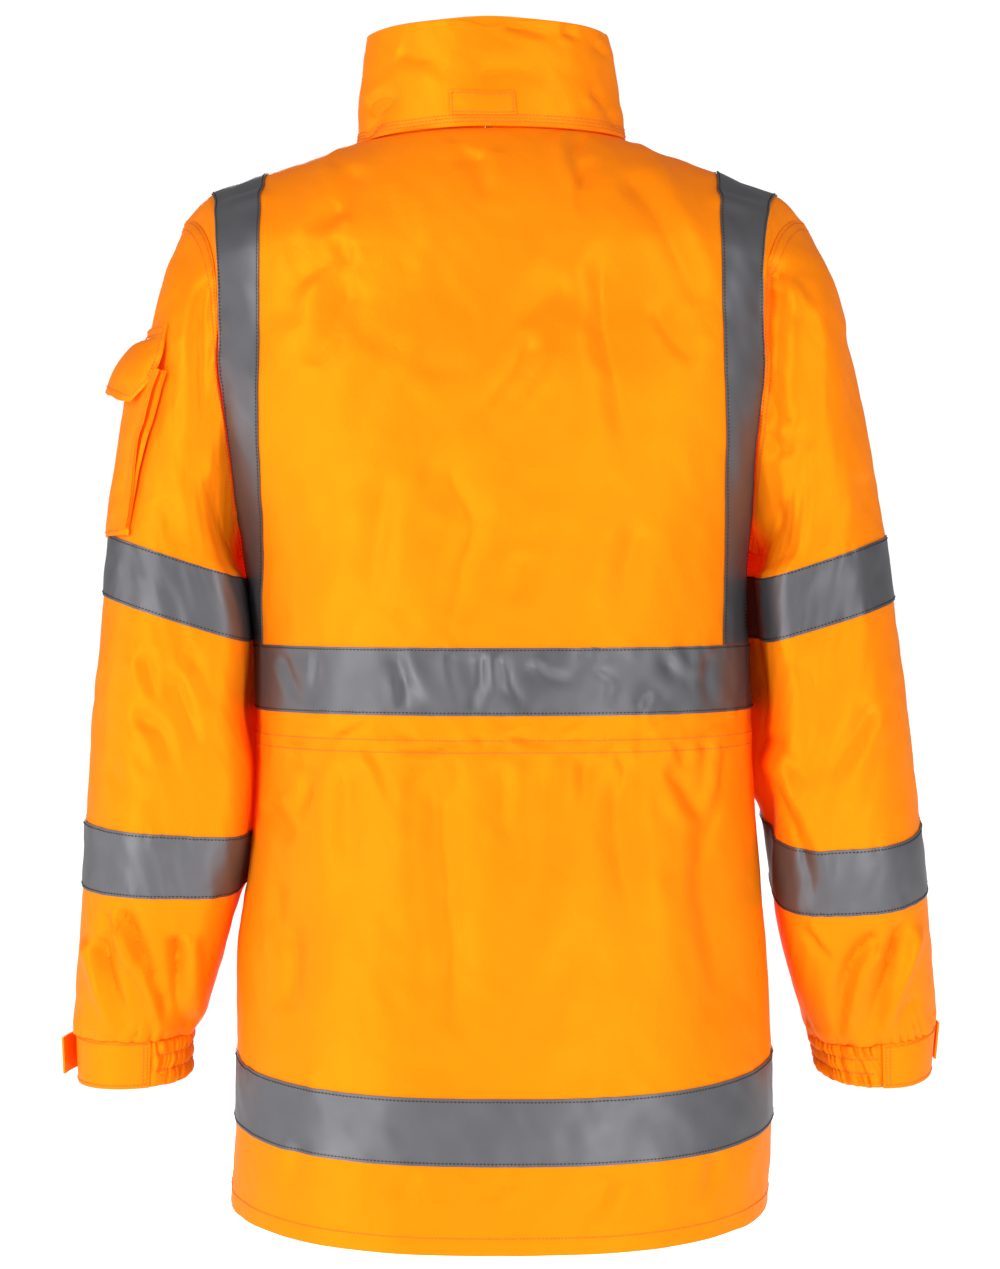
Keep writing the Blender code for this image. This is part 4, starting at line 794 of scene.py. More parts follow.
def seam_top(face, side, columns):
    """The upper edge of a half panel: half the neckline, then the shoulder seam."""
    hand = "left" if side > 0 else "right"
    ridge = RIDGE[hand]
    turn = np.radians(90 * np.minimum(columns / NECK_COLUMNS, 1))
    depth, drop = (NECK_BACK, 0) if face > 0 else (NECK_FRONT, NECK_DROP)
    neck_x = NECK_HALF_WIDTH * np.sin(turn)
    if face < 0:
        neck_x = np.maximum(neck_x, ZIP_HALF_OPENING)
    ridge_x = np.interp(columns, (NECK_COLUMNS, *range(CENTRE_COLUMNS, BRACE_COLUMNS + 1), EDGE_COLUMN),
                        (NECK_HALF_WIDTH, *BRACE_ON_SHOULDER[hand], ridge["x"][-1]))
    fine = np.linspace(0, len(ridge["x"]) - 1, 60)
    ridge_z = np.interp(ridge_x, eased(ridge["x"], fine), eased(ridge["z"], fine))
    on_neck = columns <= NECK_COLUMNS
    x = SHOULDER_SHIFT + side * np.where(on_neck, neck_x, ridge_x)
    y = np.where(on_neck, face * depth * np.cos(turn), 0)
    tilt = NECK_TILT * max(side, 0) * np.sin(turn) ** 2
    z = np.where(on_neck, -drop * np.cos(turn) ** NECK_DROP_POWER - tilt, ridge_z)
    return np.stack([x, y, z], -1)


def half_panel(face, side, rows, columns):
    """The outer face of a half back (face 1) or a front (face -1), hem row first, centre line first."""
    levels = {name: eased(values, np.minimum(rows, YOKE_LEVEL)) for name, values in LEVELS.items()}
    grid = np.array([body_row({name: values[place] for name, values in levels.items()}, face, side, columns)
                     for place in range(len(rows))])
    yoke, edge = grid[-1], seam_top(face, side, columns)
    last = np.radians(np.interp(np.minimum(columns / NECK_COLUMNS, 1) ** 2, (0, 1), SHOULDER_ARC))
    for place in np.flatnonzero(rows > YOKE_LEVEL):
        turn = last * (rows[place] - YOKE_LEVEL) / TOP_ROWS
        leaning = ((1 - np.cos(turn)) / (1 - np.cos(last)))[:, None]
        rising = (np.sin(turn) / np.sin(last))[:, None]
        grid[place, :, :2] = yoke[:, :2] + (edge[:, :2] - yoke[:, :2]) * leaning
        grid[place, :, 2:] = yoke[:, 2:] + (edge[:, 2:] - yoke[:, 2:]) * rising
    below, above = YOKE_BLEND
    near_yoke = slice(np.searchsorted(rows, YOKE_LEVEL - below), np.searchsorted(rows, YOKE_LEVEL + above))
    for _ in range(YOKE_PASSES):
        around = grid[near_yoke.start - 1:near_yoke.stop - 1] + grid[near_yoke.start + 1:near_yoke.stop + 1]
        grid[near_yoke] = grid[near_yoke] / 2 + around / 4
    grid[rows <= ARMPIT_LEVEL, -1, 1] = face * SIDE_SEAM_HALF_GAP
    grid[-1, columns >= NECK_COLUMNS, 1] = face * SHOULDER_SEAM_HALF_GAP
    return grid


def net_stops(counts, tape_spans):
    """Stops with the given number of cells between rows, and a stitch line just inside each tape's edges."""
    stops = [np.linspace(row, row + 1, count + 1) for row, count in enumerate(counts)]
    for first, last in tape_spans:
        stops.append(np.array([first + EDGE_STEP * (last - first), last - EDGE_STEP * (last - first)]))
    return np.unique(np.concatenate(stops).round(5))


def body_rows():
    """Row stops of the body's panels."""
    counts = np.maximum(np.round(np.abs(np.diff(LEVELS["z"])) / CELL).astype(int), 4)
    return net_stops([*counts, *[TOP_CELLS] * TOP_ROWS], (HEM_TAPE_LEVELS, WAIST_TAPE_LEVELS))


def body_columns():
    """Column stops of a half panel."""
    counts = [PANEL_CELLS] * EDGE_COLUMN
    counts[CENTRE_COLUMNS:BRACE_COLUMNS] = [BRACE_CELLS] * (BRACE_COLUMNS - CENTRE_COLUMNS)
    return net_stops(counts, ((CENTRE_COLUMNS, BRACE_COLUMNS),))


def axis_of(grid):
    """A point inside the body for each row, to tell the outer side."""
    inside = grid.mean(axis=1, keepdims=True)
    inside[..., :2] = 0
    inside[..., 2] = np.minimum(inside[..., 2], LEVELS["z"][YOKE_LEVEL])
    return inside


def relief_now():
    """The heights of folds and unevenness now set."""
    cloth = bpy.context.scene.jacket_cloth
    return Relief(cloth.fold_depth, cloth.wave, cloth.crinkle)


def body_relief(face, name, relief):
    """How far each point of a body panel stands off its plain form."""
    kind = name.split("_")[0]
    across, along = face.across(), face.along()
    if kind == "back":
        across = across - across[:, [len(face.columns) // 2]]
    girth = across[:, -1:] - across
    height = relief.fold_depth * creased(face.grid, CREASES[kind])
    height += relief.fold_depth * soft_fold_height(face.grid[..., 0], face.grid[..., 2], SOFT_FOLDS[kind])
    seed = SEEDS[name]
    across = across + NET_START
    for layer in layers_of(relief, BODY_LAYERS, across, 0, along, seed):
        height += layer
    for number, (row, bump, reach) in enumerate(PUCKERED_ROWS):
        off_row = distance_to_row(face, along, row)
        height += puckers(across, off_row, ROW_PUCKER_PITCH, bump, reach, seed + ROW_SEED + number)
    off_edge = np.minimum(girth, across - across[:, :1])
    height += puckers(along, off_edge, *SIDE_PUCKERS, seed + SIDE_SEED)
    off_top = along[-1:] - along
    height += puckers(across, off_top, *TOP_PUCKERS, seed + TOP_SEED)
    return height * smooth(off_edge / FLAT_AT_SIDE) * smooth(off_top / FLAT_AT_TOP)


@functools.lru_cache(maxsize=2)
def body_forms(relief):
    """The outer faces of the back and the two fronts, creased."""
    rows, columns = body_rows(), body_columns()
    halves = {(name, hand): half_panel(face, side, rows, columns)
              for name, face in FACES.items() for hand, side in SIDES.items()}
    back = np.concatenate([halves["back", "right"][:, :0:-1], halves["back", "left"]], axis=1)
    forms = {"back": Surface(back, rows, np.concatenate([-columns[:0:-1], columns]), axis_of(back))}
    for hand in SIDES:
        front = halves["front", hand]
        forms[f"front_{hand}"] = Surface(front, rows, columns, axis_of(front))
    return {name: form.moved(body_relief(form, name, relief)) for name, form in forms.items()}


def body():
    """The body's forms for the sizes now set."""
    return body_forms(relief_now())


# ---- the sleeves' form
def corner(part, roundness):
    """Points at even steps round a quarter of a superellipse, from (1, 0) to (0, 1)."""
    fine = np.linspace(0, math.pi / 2, RING_SAMPLES)
    across, deep = np.cos(fine) ** (2 / roundness), np.sin(fine) ** (2 / roundness)
    run = np.concatenate([[0], np.cumsum(np.hypot(np.diff(across), np.diff(deep)))])
    return np.interp(part * run[-1], run, across), np.interp(part * run[-1], run, deep)


def hoop(hand, number, turn):
    """Points of a sleeve hoop. turn runs in radians from the inner side round by the back."""
    row = {name: column[number - 1] for name, column in SLEEVES[hand].items()}
    power = 2 / SLEEVE_ROUNDNESS
    part = np.abs(np.arctan2(np.sin(turn), np.cos(turn))) / (math.pi / 2)
    inner_across, inner_deep = corner(np.minimum(part, 1), row["inner_roundness"])
    across = np.where(part < 1, -inner_across, np.abs(np.cos(turn)) ** power)
    deep = np.sign(np.sin(turn)) * np.where(part < 1, inner_deep, np.abs(np.sin(turn)) ** power)
    x = (row["out_x"] + row["in_x"]) / 2 + (row["out_x"] - row["in_x"]) / 2 * across
    z = (row["out_z"] + row["in_z"]) / 2 + (row["out_z"] - row["in_z"]) / 2 * across
    y = row["centre_y"] + row["depth"] * deep
    return np.stack([SIDES[hand] * x, y, z - row["lean"] * row["depth"] * deep], -1)


def armhole(hand, columns):
    """The armhole seam, from the armpit up the back panel's edge and down the front's."""
    half = AROUND_ARM / 2
    up, _ = body()["back"].at(ARMPIT_LEVEL + columns[columns <= half], SIDES[hand] * EDGE_COLUMN)
    down, _ = body()[f"front_{hand}"].at(ARMPIT_LEVEL + AROUND_ARM - columns[columns > half], EDGE_COLUMN)
    down[-1] = up[0]
    return np.concatenate([up, down]) + (SIDES[hand] * ARMHOLE_GAP, 0, 0)


def sleeve_relief(face, hand, relief):
    """How far each point of a sleeve stands off its plain form."""
    across, along = face.across(), face.along()
    turn = 2 * math.pi * face.columns / AROUND_ARM
    behind = smooth(0.5 + np.sin(turn) * 2)
    height = relief.fold_depth * (creased(face.grid, CREASES[f"sleeve_{hand}"]) * behind
                                  + creased(face.grid, CREASES[f"sleeve_{hand}_front"]) * (1 - behind))
    seed = SEEDS[f"sleeve_{hand}"]
    radius = across[:, -1:] / (2 * math.pi)
    ring_x, ring_y = radius * np.cos(turn) + NET_START, radius * np.sin(turn) + NET_START
    for layer in layers_of(relief, SLEEVE_LAYERS, ring_x, ring_y, along, seed):
        height += layer
    bulge, top, bottom = SLACK[hand]
    inner_front = np.exp(-((face.columns - SLACK_TURN[0]) / SLACK_TURN[1]) ** 2)
    below_top = smooth((top - face.grid[..., 2]) / SLACK_FADE[0])
    beside_waist = below_top * smooth((face.grid[..., 2] - bottom) / SLACK_FADE[1])
    height += bulge * inner_front * beside_waist
    wrap = across / across[:, -1:] * SLEEVE_WRAP
    ends = smooth(np.minimum(face.columns, AROUND_ARM - face.columns))
    for number, (row, bump, reach) in enumerate(SLEEVE_PUCKERED_HOOPS):
        off = distance_to_row(face, along, row)
        pitch = SLEEVE_WRAP / SLEEVE_PUCKERS_ROUND
        height += puckers(wrap, off, pitch, bump, reach, seed + ROW_SEED + number) * ends
    bag, above_end, reach = SLEEVE_BLOUSE
    height += bag * np.exp(-((distance_to_row(face, along, SLEEVE_END_HOOP) - above_end) / reach) ** 2)
    return height * smooth(along / FLAT_AT_ARMHOLE)


@functools.lru_cache(maxsize=4)
def sleeve_form(hand, relief):
    """The creased outer face of a sleeve, from the armhole down to where the cuff is sewn on."""
    columns = np.linspace(0, AROUND_ARM, AROUND_ARM * SLEEVE_CELLS + 1)
    turn = 2 * math.pi * columns / AROUND_ARM
    hoops = [hoop(hand, number, turn) for number in range(1, SLEEVE_END_HOOP + 1)]
    control = np.array([armhole(hand, columns), *hoops])
    lengths = np.linalg.norm(np.diff(control[:, len(columns) // 2], axis=0), axis=1)
    counts = np.maximum(np.round(lengths / SLEEVE_CELL).astype(int), 6)
    rows = net_stops(counts, (UPPER_BAND_HOOPS, LOWER_BAND_HOOPS))
    grid = eased(control, rows)
    grid[:, -1] = grid[:, 0]
    plain = Surface(grid, rows, columns, grid.mean(axis=1, keepdims=True), closed=True)
    raised = plain.moved(sleeve_relief(plain, hand, relief))
    raised.grid[:, -1] = raised.grid[:, 0]
    return Surface(raised.grid, rows, columns, raised.inside, closed=True)


def sleeve(hand):
    """A sleeve's form for the sizes now set."""
    return sleeve_form(hand, relief_now())


# ---- meshes
def jacket_collection():
    """The collection that holds the modelled pieces."""
    name = "Hi-vis work jacket"
    if name not in bpy.data.collections:
        bpy.context.scene.collection.children.link(bpy.data.collections.new(name))
    return bpy.data.collections[name]


def choose_only(piece):
    """Make a piece the only selected one, and the active one."""
    for other in bpy.context.view_layer.objects:
        other.select_set(False)
    piece.select_set(True)
    bpy.context.view_layer.objects.active = piece


def apply_all(piece, smooth_angle=50):
    """Apply a piece's modifiers and shade it smooth but for its sharp edges."""
    choose_only(piece)
    for modifier in piece.modifiers[:]:
        bpy.ops.object.modifier_apply(modifier=modifier.name)
    bpy.ops.object.shade_smooth_by_angle(angle=math.radians(smooth_angle))
    piece.select_set(False)


def cloth_piece(name, face, wall, finish):
    """A cloth piece from its outer face: a grid primitive, its UV map in metres, its wall turned inwards."""
    rows, columns = face.grid.shape[:2]
    shape = bmesh.new()
    bmesh.ops.create_grid(shape, x_segments=columns - 1, y_segments=rows - 1, size=1)
    mesh = bpy.data.meshes.new(name)
    shape.to_mesh(mesh)
    shape.free()
    mesh.vertices.foreach_set("co", face.grid.astype(np.float32).ravel())
    corner = np.empty(len(mesh.loops), np.int32)
    mesh.loops.foreach_get("vertex_index", corner)
    cloth_place = np.stack([face.across(), face.along()], -1).reshape(-1, 2)[corner]
    mesh.uv_layers.new(name="Cloth").uv.foreach_set("vector", cloth_place.astype(np.float32).ravel())
    turned = np.cross(np.gradient(face.grid, axis=1), np.gradient(face.grid, axis=0))
    if np.sum(turned * (face.grid - face.inside)) < 0:
        mesh.flip_normals()
    piece = bpy.data.objects.new(name, mesh)
    jacket_collection().objects.link(piece)
    mesh.materials.append(finish)
    if face.closed:
        weld = piece.modifiers.new("Weld", "WELD")
        weld.merge_threshold = 1e-6
    solid = piece.modifiers.new("Wall", "SOLIDIFY")
    solid.thickness, solid.offset = wall, -1
    apply_all(piece)
    return piece


def joined_copies(name, template, frames, finish):
    """One mesh of many copies of a template: frames are (place, along, across, up) with their scales in."""
    place, along, across, up = (np.asarray(part, float) for part in frames)
    points, faces = template
    count = len(place)
    moved = (place[:, None] + points[None, :, :1] * along[:, None] + points[None, :, 1:2] * across[:, None]
             + points[None, :, 2:] * up[:, None])
    corners = np.concatenate([np.array(face) for face in faces])
    sizes = np.array([len(face) for face in faces])
    mesh = bpy.data.meshes.new(name)
    mesh.vertices.add(count * len(points))
    mesh.vertices.foreach_set("co", moved.astype(np.float32).ravel())
    mesh.loops.add(count * len(corners))
    corner_points = corners[None] + len(points) * np.arange(count)[:, None]
    mesh.loops.foreach_set("vertex_index", corner_points.astype(np.int32).ravel())
    mesh.polygons.add(count * len(sizes))
    starts = np.concatenate([[0], np.cumsum(np.tile(sizes, count))[:-1]])
    mesh.polygons.foreach_set("loop_start", starts.astype(np.int32))
    mesh.update(calc_edges=True)
    mesh.validate()
    mesh.materials.append(finish)
    piece = bpy.data.objects.new(name, mesh)
    jacket_collection().objects.link(piece)
    apply_all(piece, 60)
    return piece


def template_of(piece):
    """A modelled piece as points and faces, and the piece itself removed."""
    points = np.array([vertex.co for vertex in piece.data.vertices])
    faces = [tuple(face.vertices) for face in piece.data.polygons]
    bpy.data.objects.remove(piece)
    return points, faces


@functools.lru_cache(maxsize=1)
def stitch_template():
    """One stitch: a short length of thread, two long and one high, rounded at both ends."""
    bpy.ops.mesh.primitive_uv_sphere_add(segments=5, ring_count=3, radius=0.5, rotation=(0, math.pi / 2, 0))
    bpy.ops.object.transform_apply(location=False, rotation=True, scale=False)
    return template_of(bpy.context.object)


def sewing(name, runs, finish):
    """Rows of stitches along runs of (points, normals)."""
    cloth = bpy.context.scene.jacket_cloth
    pitch, thick = cloth.stitch_pitch, cloth.thread_width
    frames = []
    for points, normals in runs:
        step = np.linalg.norm(np.diff(points, axis=0), axis=1)
        run = np.concatenate([[0], np.cumsum(step)])
        stops = np.arange(pitch * STITCH_START, run[-1] - pitch * STITCH_END, pitch)
        at = points_at(stops, run, points)
        ahead = unit(points_at(stops + STITCH_AHEAD, run, points) - at)
        beside = unit(np.cross(points_at(stops, run, normals), ahead))
        up = np.cross(ahead, beside)
        frames.append((at + up * thick * STITCH_LIFT, ahead * cloth.stitch_length, beside * thick,
                       up * thick * STITCH_FLATNESS))
    together = [np.concatenate(parts) for parts in zip(*frames)]
    return joined_copies(name, stitch_template(), together, finish)


def row_run(face, row, columns=None):
    """A run along a row of a face, from its first column to its last or between two."""
    first, last = (face.columns[0], face.columns[-1]) if columns is None else columns
    inner = face.columns[(face.columns > first) & (face.columns < last)]
    return face.at(row, np.concatenate([[first], inner, [last]]))


def column_run(face, column, rows=None):
    """A run along a column of a face."""
    first, last = (face.rows[0], face.rows[-1]) if rows is None else rows
    inner = face.rows[(face.rows > first) & (face.rows < last)]
    return face.at(np.concatenate([[first], inner, [last]]), column)


def even_run(face, off):
    """A run that stays the same length of cloth away from a face's first row."""
    along = face.along()
    rows = np.array([np.interp(off, along[:, place], face.rows) for place in range(len(face.columns))])
    return face.at(rows, face.columns)


def settled(piece, slot, *nodes):
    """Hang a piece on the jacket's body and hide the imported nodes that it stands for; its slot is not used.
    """
    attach(piece, "jacket")
    if nodes:
        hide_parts(*nodes)
    return piece


def orange_piece(name, face, wall):
    """A piece of the orange cloth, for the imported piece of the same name."""
    return settled(cloth_piece(f"{name}_cloth", face, wall, orange_satin()), "orange_cloth", name)


def orange_seams(name, runs):
    """Stitches in the cloth's own thread."""
    return settled(sewing(f"{name}_seams", runs, cloth_thread()), "orange_cloth")


def tape_band(name, face, wall, runs):
    """A reflective tape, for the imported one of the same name, and its rows of stitches."""
    piece = settled(cloth_piece(f"{name}_band", face, wall, bead_tape()), "reflective_tape", name)
    thread = settled(sewing(f"{name}_stitches", runs, tape_thread()), "reflective_tape")
    return piece, thread


# ---- materials
def wire(tree, node, inputs):
    """Set or link a node's inputs, each by its name or number."""
    for name, value in inputs.items():
        if isinstance(value, bpy.types.NodeSocket):
            tree.links.new(value, node.inputs[name])
        else:
            node.inputs[name].default_value = value
    return node


def add_node(tree, kind, inputs=None, **settings):
    """Add a node with its settings, and set or link its inputs."""
    made = tree.nodes.new("ShaderNode" + kind)
    for name, value in settings.items():
        setattr(made, name, value)
    return wire(tree, made, inputs or {})


def new_material(name):
    """An empty material with its node tree, its main shader and the places that patterns can follow."""
    made = bpy.data.materials.new(name)
    made.use_nodes = True
    tree = made.node_tree
    return made, tree, tree.nodes["Principled BSDF"], add_node(tree, "TexCoord").outputs


def opaque(code, part=1.0):
    """A colour, or a darker one that is a part of it, as a colour socket takes it."""
    return (*(value * part for value in code), 1)


# A Mix node's two colours and their mix, by number, because its sockets share their names.
MIX_LOW, MIX_HIGH, MIXED = 6, 7, 2


@functools.lru_cache(maxsize=None)
def orange_satin():
    """Woven polyester satin with a waterproof coating: even, saturated, with a soft broad sheen and a painted
    red glow.
    """
    colours = bpy.context.scene.jacket_colours
    made, tree, shader, place = new_material("coated polyester satin, fluorescent orange")
    # The dye's tone drifts over about 110 mm of cloth, and its fine crinkles are about 9 mm wide.
    dye = add_node(tree, "TexNoise", {"Vector": place["Object"], "Scale": 9.0, "Detail": 3.0})
    tone = add_node(tree, "MapRange", {"Value": dye.outputs["Fac"], "From Min": 0.2, "From Max": 0.9})
    base = add_node(tree, "Mix", {"Factor": tone.outputs["Result"], MIX_LOW: opaque(colours.orange),
        MIX_HIGH: opaque(colours.orange_deep)}, data_type="RGBA")
    # Cloth threads lie 0.2 mm apart; drawn 3.4 mm apart so that the weave shows at all.
    weave = add_node(tree, "TexWave", {
        "Vector": place["UV"], "Scale": 132.0, "Distortion": 1.5, "Detail": 2.0, "Detail Scale": 3.0},
        bands_direction="DIAGONAL")
    crinkle = add_node(tree, "TexNoise", {
        "Vector": place["Object"], "Scale": 110.0, "Detail": 5.0, "Roughness": 0.6, "Distortion": 0.6})
    rough = add_node(tree, "MapRange", {"Value": crinkle.outputs["Fac"], "To Min": 0.4, "To Max": 0.54})
    fine = add_node(tree, "Bump", {"Height": weave.outputs["Fac"], "Strength": 0.06, "Distance": 0.0003})
    bump = add_node(tree, "Bump", {
        "Height": crinkle.outputs["Fac"], "Normal": fine.outputs["Normal"], "Strength": 0.35,
        "Distance": 0.001})
    # The emission paints a faint red-orange glow over all of the cloth, lit or not: it stands in for the
    # dye's fluorescence and reddens the cloth's shade.
    wire(tree, shader, {"Base Color": base.outputs[MIXED], "Roughness": rough.outputs["Result"],
        "Normal": bump.outputs["Normal"], "IOR": 1.5, "Metallic": 0.25, "Specular IOR Level": 0.1,
        "Specular Tint": opaque(hex_linear("#FFB347")), "Emission Color": opaque(colours.glow),
        "Emission Strength": 0.08})
    return made


@functools.lru_cache(maxsize=None)
def bead_tape():
    """Glass beads on aluminised woven tape: silver grey, dull in plain light, darker where it turns away."""
    colours = bpy.context.scene.jacket_colours
    made, tree, shader, place = new_material("glass bead reflective tape, silver grey")
    # Beads are 0.06 mm; drawn as 0.9 mm grains so that the surface reads as grainy.
    beads = add_node(tree, "TexVoronoi", {"Vector": place["UV"], "Scale": 1100.0})
    # Handling has dulled it in patches about 40 mm wide.
    handling = add_node(tree, "TexNoise", {"Vector": place["Object"], "Scale": 26.0, "Detail": 4.0})
    worn = add_node(tree, "MapRange", {"Value": handling.outputs["Fac"], "From Min": 0.3, "From Max": 0.75})
    base = add_node(tree, "Mix", {"Factor": worn.outputs["Result"], MIX_LOW: opaque(colours.tape),
        MIX_HIGH: opaque(colours.tape, 0.86)}, data_type="RGBA")
    rough = add_node(tree, "MapRange", {"Value": handling.outputs["Fac"], "To Min": 0.38, "To Max": 0.52})
    bump = add_node(tree, "Bump", {"Height": beads.outputs["Distance"], "Strength": 0.12, "Distance": 0.0002})
    wire(tree, shader, {"Base Color": base.outputs[MIXED], "Roughness": rough.outputs["Result"],
        "Normal": bump.outputs["Normal"], "Metallic": 0.72})
    return made


def thread_finish(name, code):
    """Twisted polyester sewing thread: fine diagonal plies with a dull shine and painted shade in their
    grooves.
    """
    made, tree, shader, place = new_material(name)
    # Plies are 0.15 mm apart; drawn 1.4 mm apart, so that a stitch shows one or two.
    plies = add_node(tree, "TexWave", {
        "Vector": place["Object"], "Scale": 320.0, "Distortion": 1.0}, bands_direction="DIAGONAL")
    # The colour is darker where the plies' bump sinks: painted shade in the grooves between them.
    base = add_node(tree, "Mix", {
        "Factor": plies.outputs["Fac"], MIX_LOW: opaque(code, 0.75), MIX_HIGH: opaque(code)},
        data_type="RGBA")
    bump = add_node(tree, "Bump", {"Height": plies.outputs["Fac"], "Strength": 0.3, "Distance": 0.0002})
    wire(tree, shader, {
        "Base Color": base.outputs[MIXED], "Normal": bump.outputs["Normal"], "Roughness": 0.6})
    return made


@functools.lru_cache(maxsize=None)
def tape_thread():
    """The grey thread that holds the tapes."""
    return thread_finish("polyester sewing thread, dark grey", bpy.context.scene.jacket_colours.tape_thread)


@functools.lru_cache(maxsize=None)
def cloth_thread():
    """The orange thread of the cloth's own seams."""
    return thread_finish("polyester sewing thread, orange", bpy.context.scene.jacket_colours.cloth_thread)


@functools.lru_cache(maxsize=None)
def zip_plastic():
    """Injection moulded acetal zip teeth: semi-gloss, with slightly uneven colour."""
    code = bpy.context.scene.jacket_colours.zip_plastic
    made, tree, shader, place = new_material("moulded acetal, orange")
    # The melt's flow marks are about 3 mm wide.
    flow = add_node(tree, "TexNoise", {"Vector": place["Object"], "Scale": 300.0, "Detail": 2.0})
    base = add_node(tree, "Mix", {
        "Factor": flow.outputs["Fac"], MIX_LOW: opaque(code), MIX_HIGH: opaque(code, 0.8)},
        data_type="RGBA")
    bump = add_node(tree, "Bump", {"Height": flow.outputs["Fac"], "Strength": 0.2, "Distance": 0.0002})
    wire(tree, shader, {
        "Base Color": base.outputs[MIXED], "Normal": bump.outputs["Normal"], "Roughness": 0.35,
        "IOR": 1.48})
    return made


@functools.lru_cache(maxsize=None)
def zip_nickel():
    """Nickel plated zinc die casting: bright, with a fine tumbled unevenness."""
    code = bpy.context.scene.jacket_colours.zip_nickel
    made, tree, shader, place = new_material("nickel plated die casting, satin")
    # Tumbling leaves marks about 1 mm wide.
    tumbled = add_node(tree, "TexNoise", {"Vector": place["Object"], "Scale": 900.0, "Detail": 4.0})
    rough = add_node(tree, "MapRange", {"Value": tumbled.outputs["Fac"], "To Min": 0.22, "To Max": 0.42})
    base = add_node(tree, "Mix", {
        "Factor": tumbled.outputs["Fac"], MIX_LOW: opaque(code), MIX_HIGH: opaque(code, 0.8)},
        data_type="RGBA")
    bump = add_node(tree, "Bump", {"Height": tumbled.outputs["Fac"], "Strength": 0.1, "Distance": 0.0001})
    wire(tree, shader, {"Base Color": base.outputs[MIXED], "Roughness": rough.outputs["Result"],
        "Normal": bump.outputs["Normal"], "Metallic": 1.0})
    return made


# ---- operators: the pieces
def turned_in(edge, before, normals):
    """Lines of points that carry a panel on past its edge, just under the piece sewn to it."""
    ahead = edge - before
    ahead = unit(ahead - normals * np.sum(ahead * normals, axis=-1, keepdims=True))
    return [edge + ahead * reach - normals * depth for reach, depth in SEAM_ALLOWANCE]


def with_allowance(face):
    """The back with its seam allowance along both sides and the top, so that no seam gapes."""
    grid, normals, inside = face.grid, face.normals, face.inside
    first = turned_in(grid[:, 0], grid[:, 1], normals[:, 0])[::-1]
    last = turned_in(grid[:, -1], grid[:, -2], normals[:, -1])
    count = len(SEAM_ALLOWANCE)
    grid = np.concatenate([np.stack(first, 1), grid, np.stack(last, 1)], axis=1)
    normals, inside = (np.concatenate([field[:, :1]] * count + [field] + [field[:, -1:]] * count, axis=1)
                       for field in (normals, inside))
    grid = np.concatenate([grid, turned_in(grid[-1], grid[-2], normals[-1])])
    inside = np.concatenate([inside] + [inside[-1:]] * count)
    more = np.arange(1, count + 1) * 0.01
    columns = np.concatenate([face.columns[0] - more[::-1], face.columns, face.columns[-1] + more])
    return Surface(grid, np.concatenate([face.rows, face.rows[-1] + more]), columns, inside)


class JACKET_OT_body(bpy.types.Operator):
    """Model the back and the two fronts, with the casing and hem stitching"""
    bl_idname = "jacket.body"
    bl_label = "Body panels"

    def execute(self, context):
        cloth = context.scene.jacket_cloth
        sizes = {"back": (0.6, 0.93, 0.48), "front_left": (0.32, 0.88, 0.23),
                 "front_right": (0.32, 0.88, 0.23)}
        roll, reach = EDGE_ROLL
        for name, face in body().items():
            across, along = face.across(), face.along()
            off_seam = np.minimum(across[:, -1:] - across, along[-1:] - along)
            off_seam = np.minimum(off_seam, across)
            rolled = face.moved(-roll * np.exp(-off_seam / reach))
            piece = orange_piece(name, with_allowance(rolled) if name == "back" else rolled, cloth.cloth_wall)
            side = (-EDGE_COLUMN, EDGE_COLUMN) if name == "back" else (0, EDGE_COLUMN)
            runs = [row_run(rolled, row, side) for row in (*CASING_ROWS, HEM_ROW)]
            if name != "back":
                runs += [column_run(rolled, column) for column in FRONT_EDGE_STITCHES]
            thread = orange_seams(name, runs)
            width, tall, area = sizes[name]
        return {"FINISHED"}


class JACKET_OT_body_tapes(bpy.types.Operator):
    """Model the reflective tapes round the hem and the waist"""
    bl_idname = "jacket.body_tapes"
    bl_label = "Hem and waist tapes"

    def execute(self, context):
        wall = context.scene.jacket_cloth.tape_wall
        hoop_tape("tape_hem", HEM_TAPE_LEVELS, wall)
        hoop_tape("tape_waist", WAIST_TAPE_LEVELS, wall)
        return {"FINISHED"}


def hoop_tape(name, levels, wall):
    """A tape round the body from one zip edge to the other, with its two rows of stitches."""
    strips = [body()[key].part(rows=levels).grid for key in ("front_right", "back", "front_left")]
    belt = np.concatenate([strips[0], strips[1][:, 1:], strips[2][:, -2::-1]], axis=1)
    columns = np.arange(belt.shape[1])
    rows = body()["back"].part(rows=levels).rows
    face = Surface(belt, rows, columns, axis_of(belt)).moved(SEAM_GAP + wall)
    runs = [row_run(face, row) for row in (levels[0] + EDGE_STEP, levels[1] - EDGE_STEP)]
    piece, thread = tape_band(name, face, wall, runs)


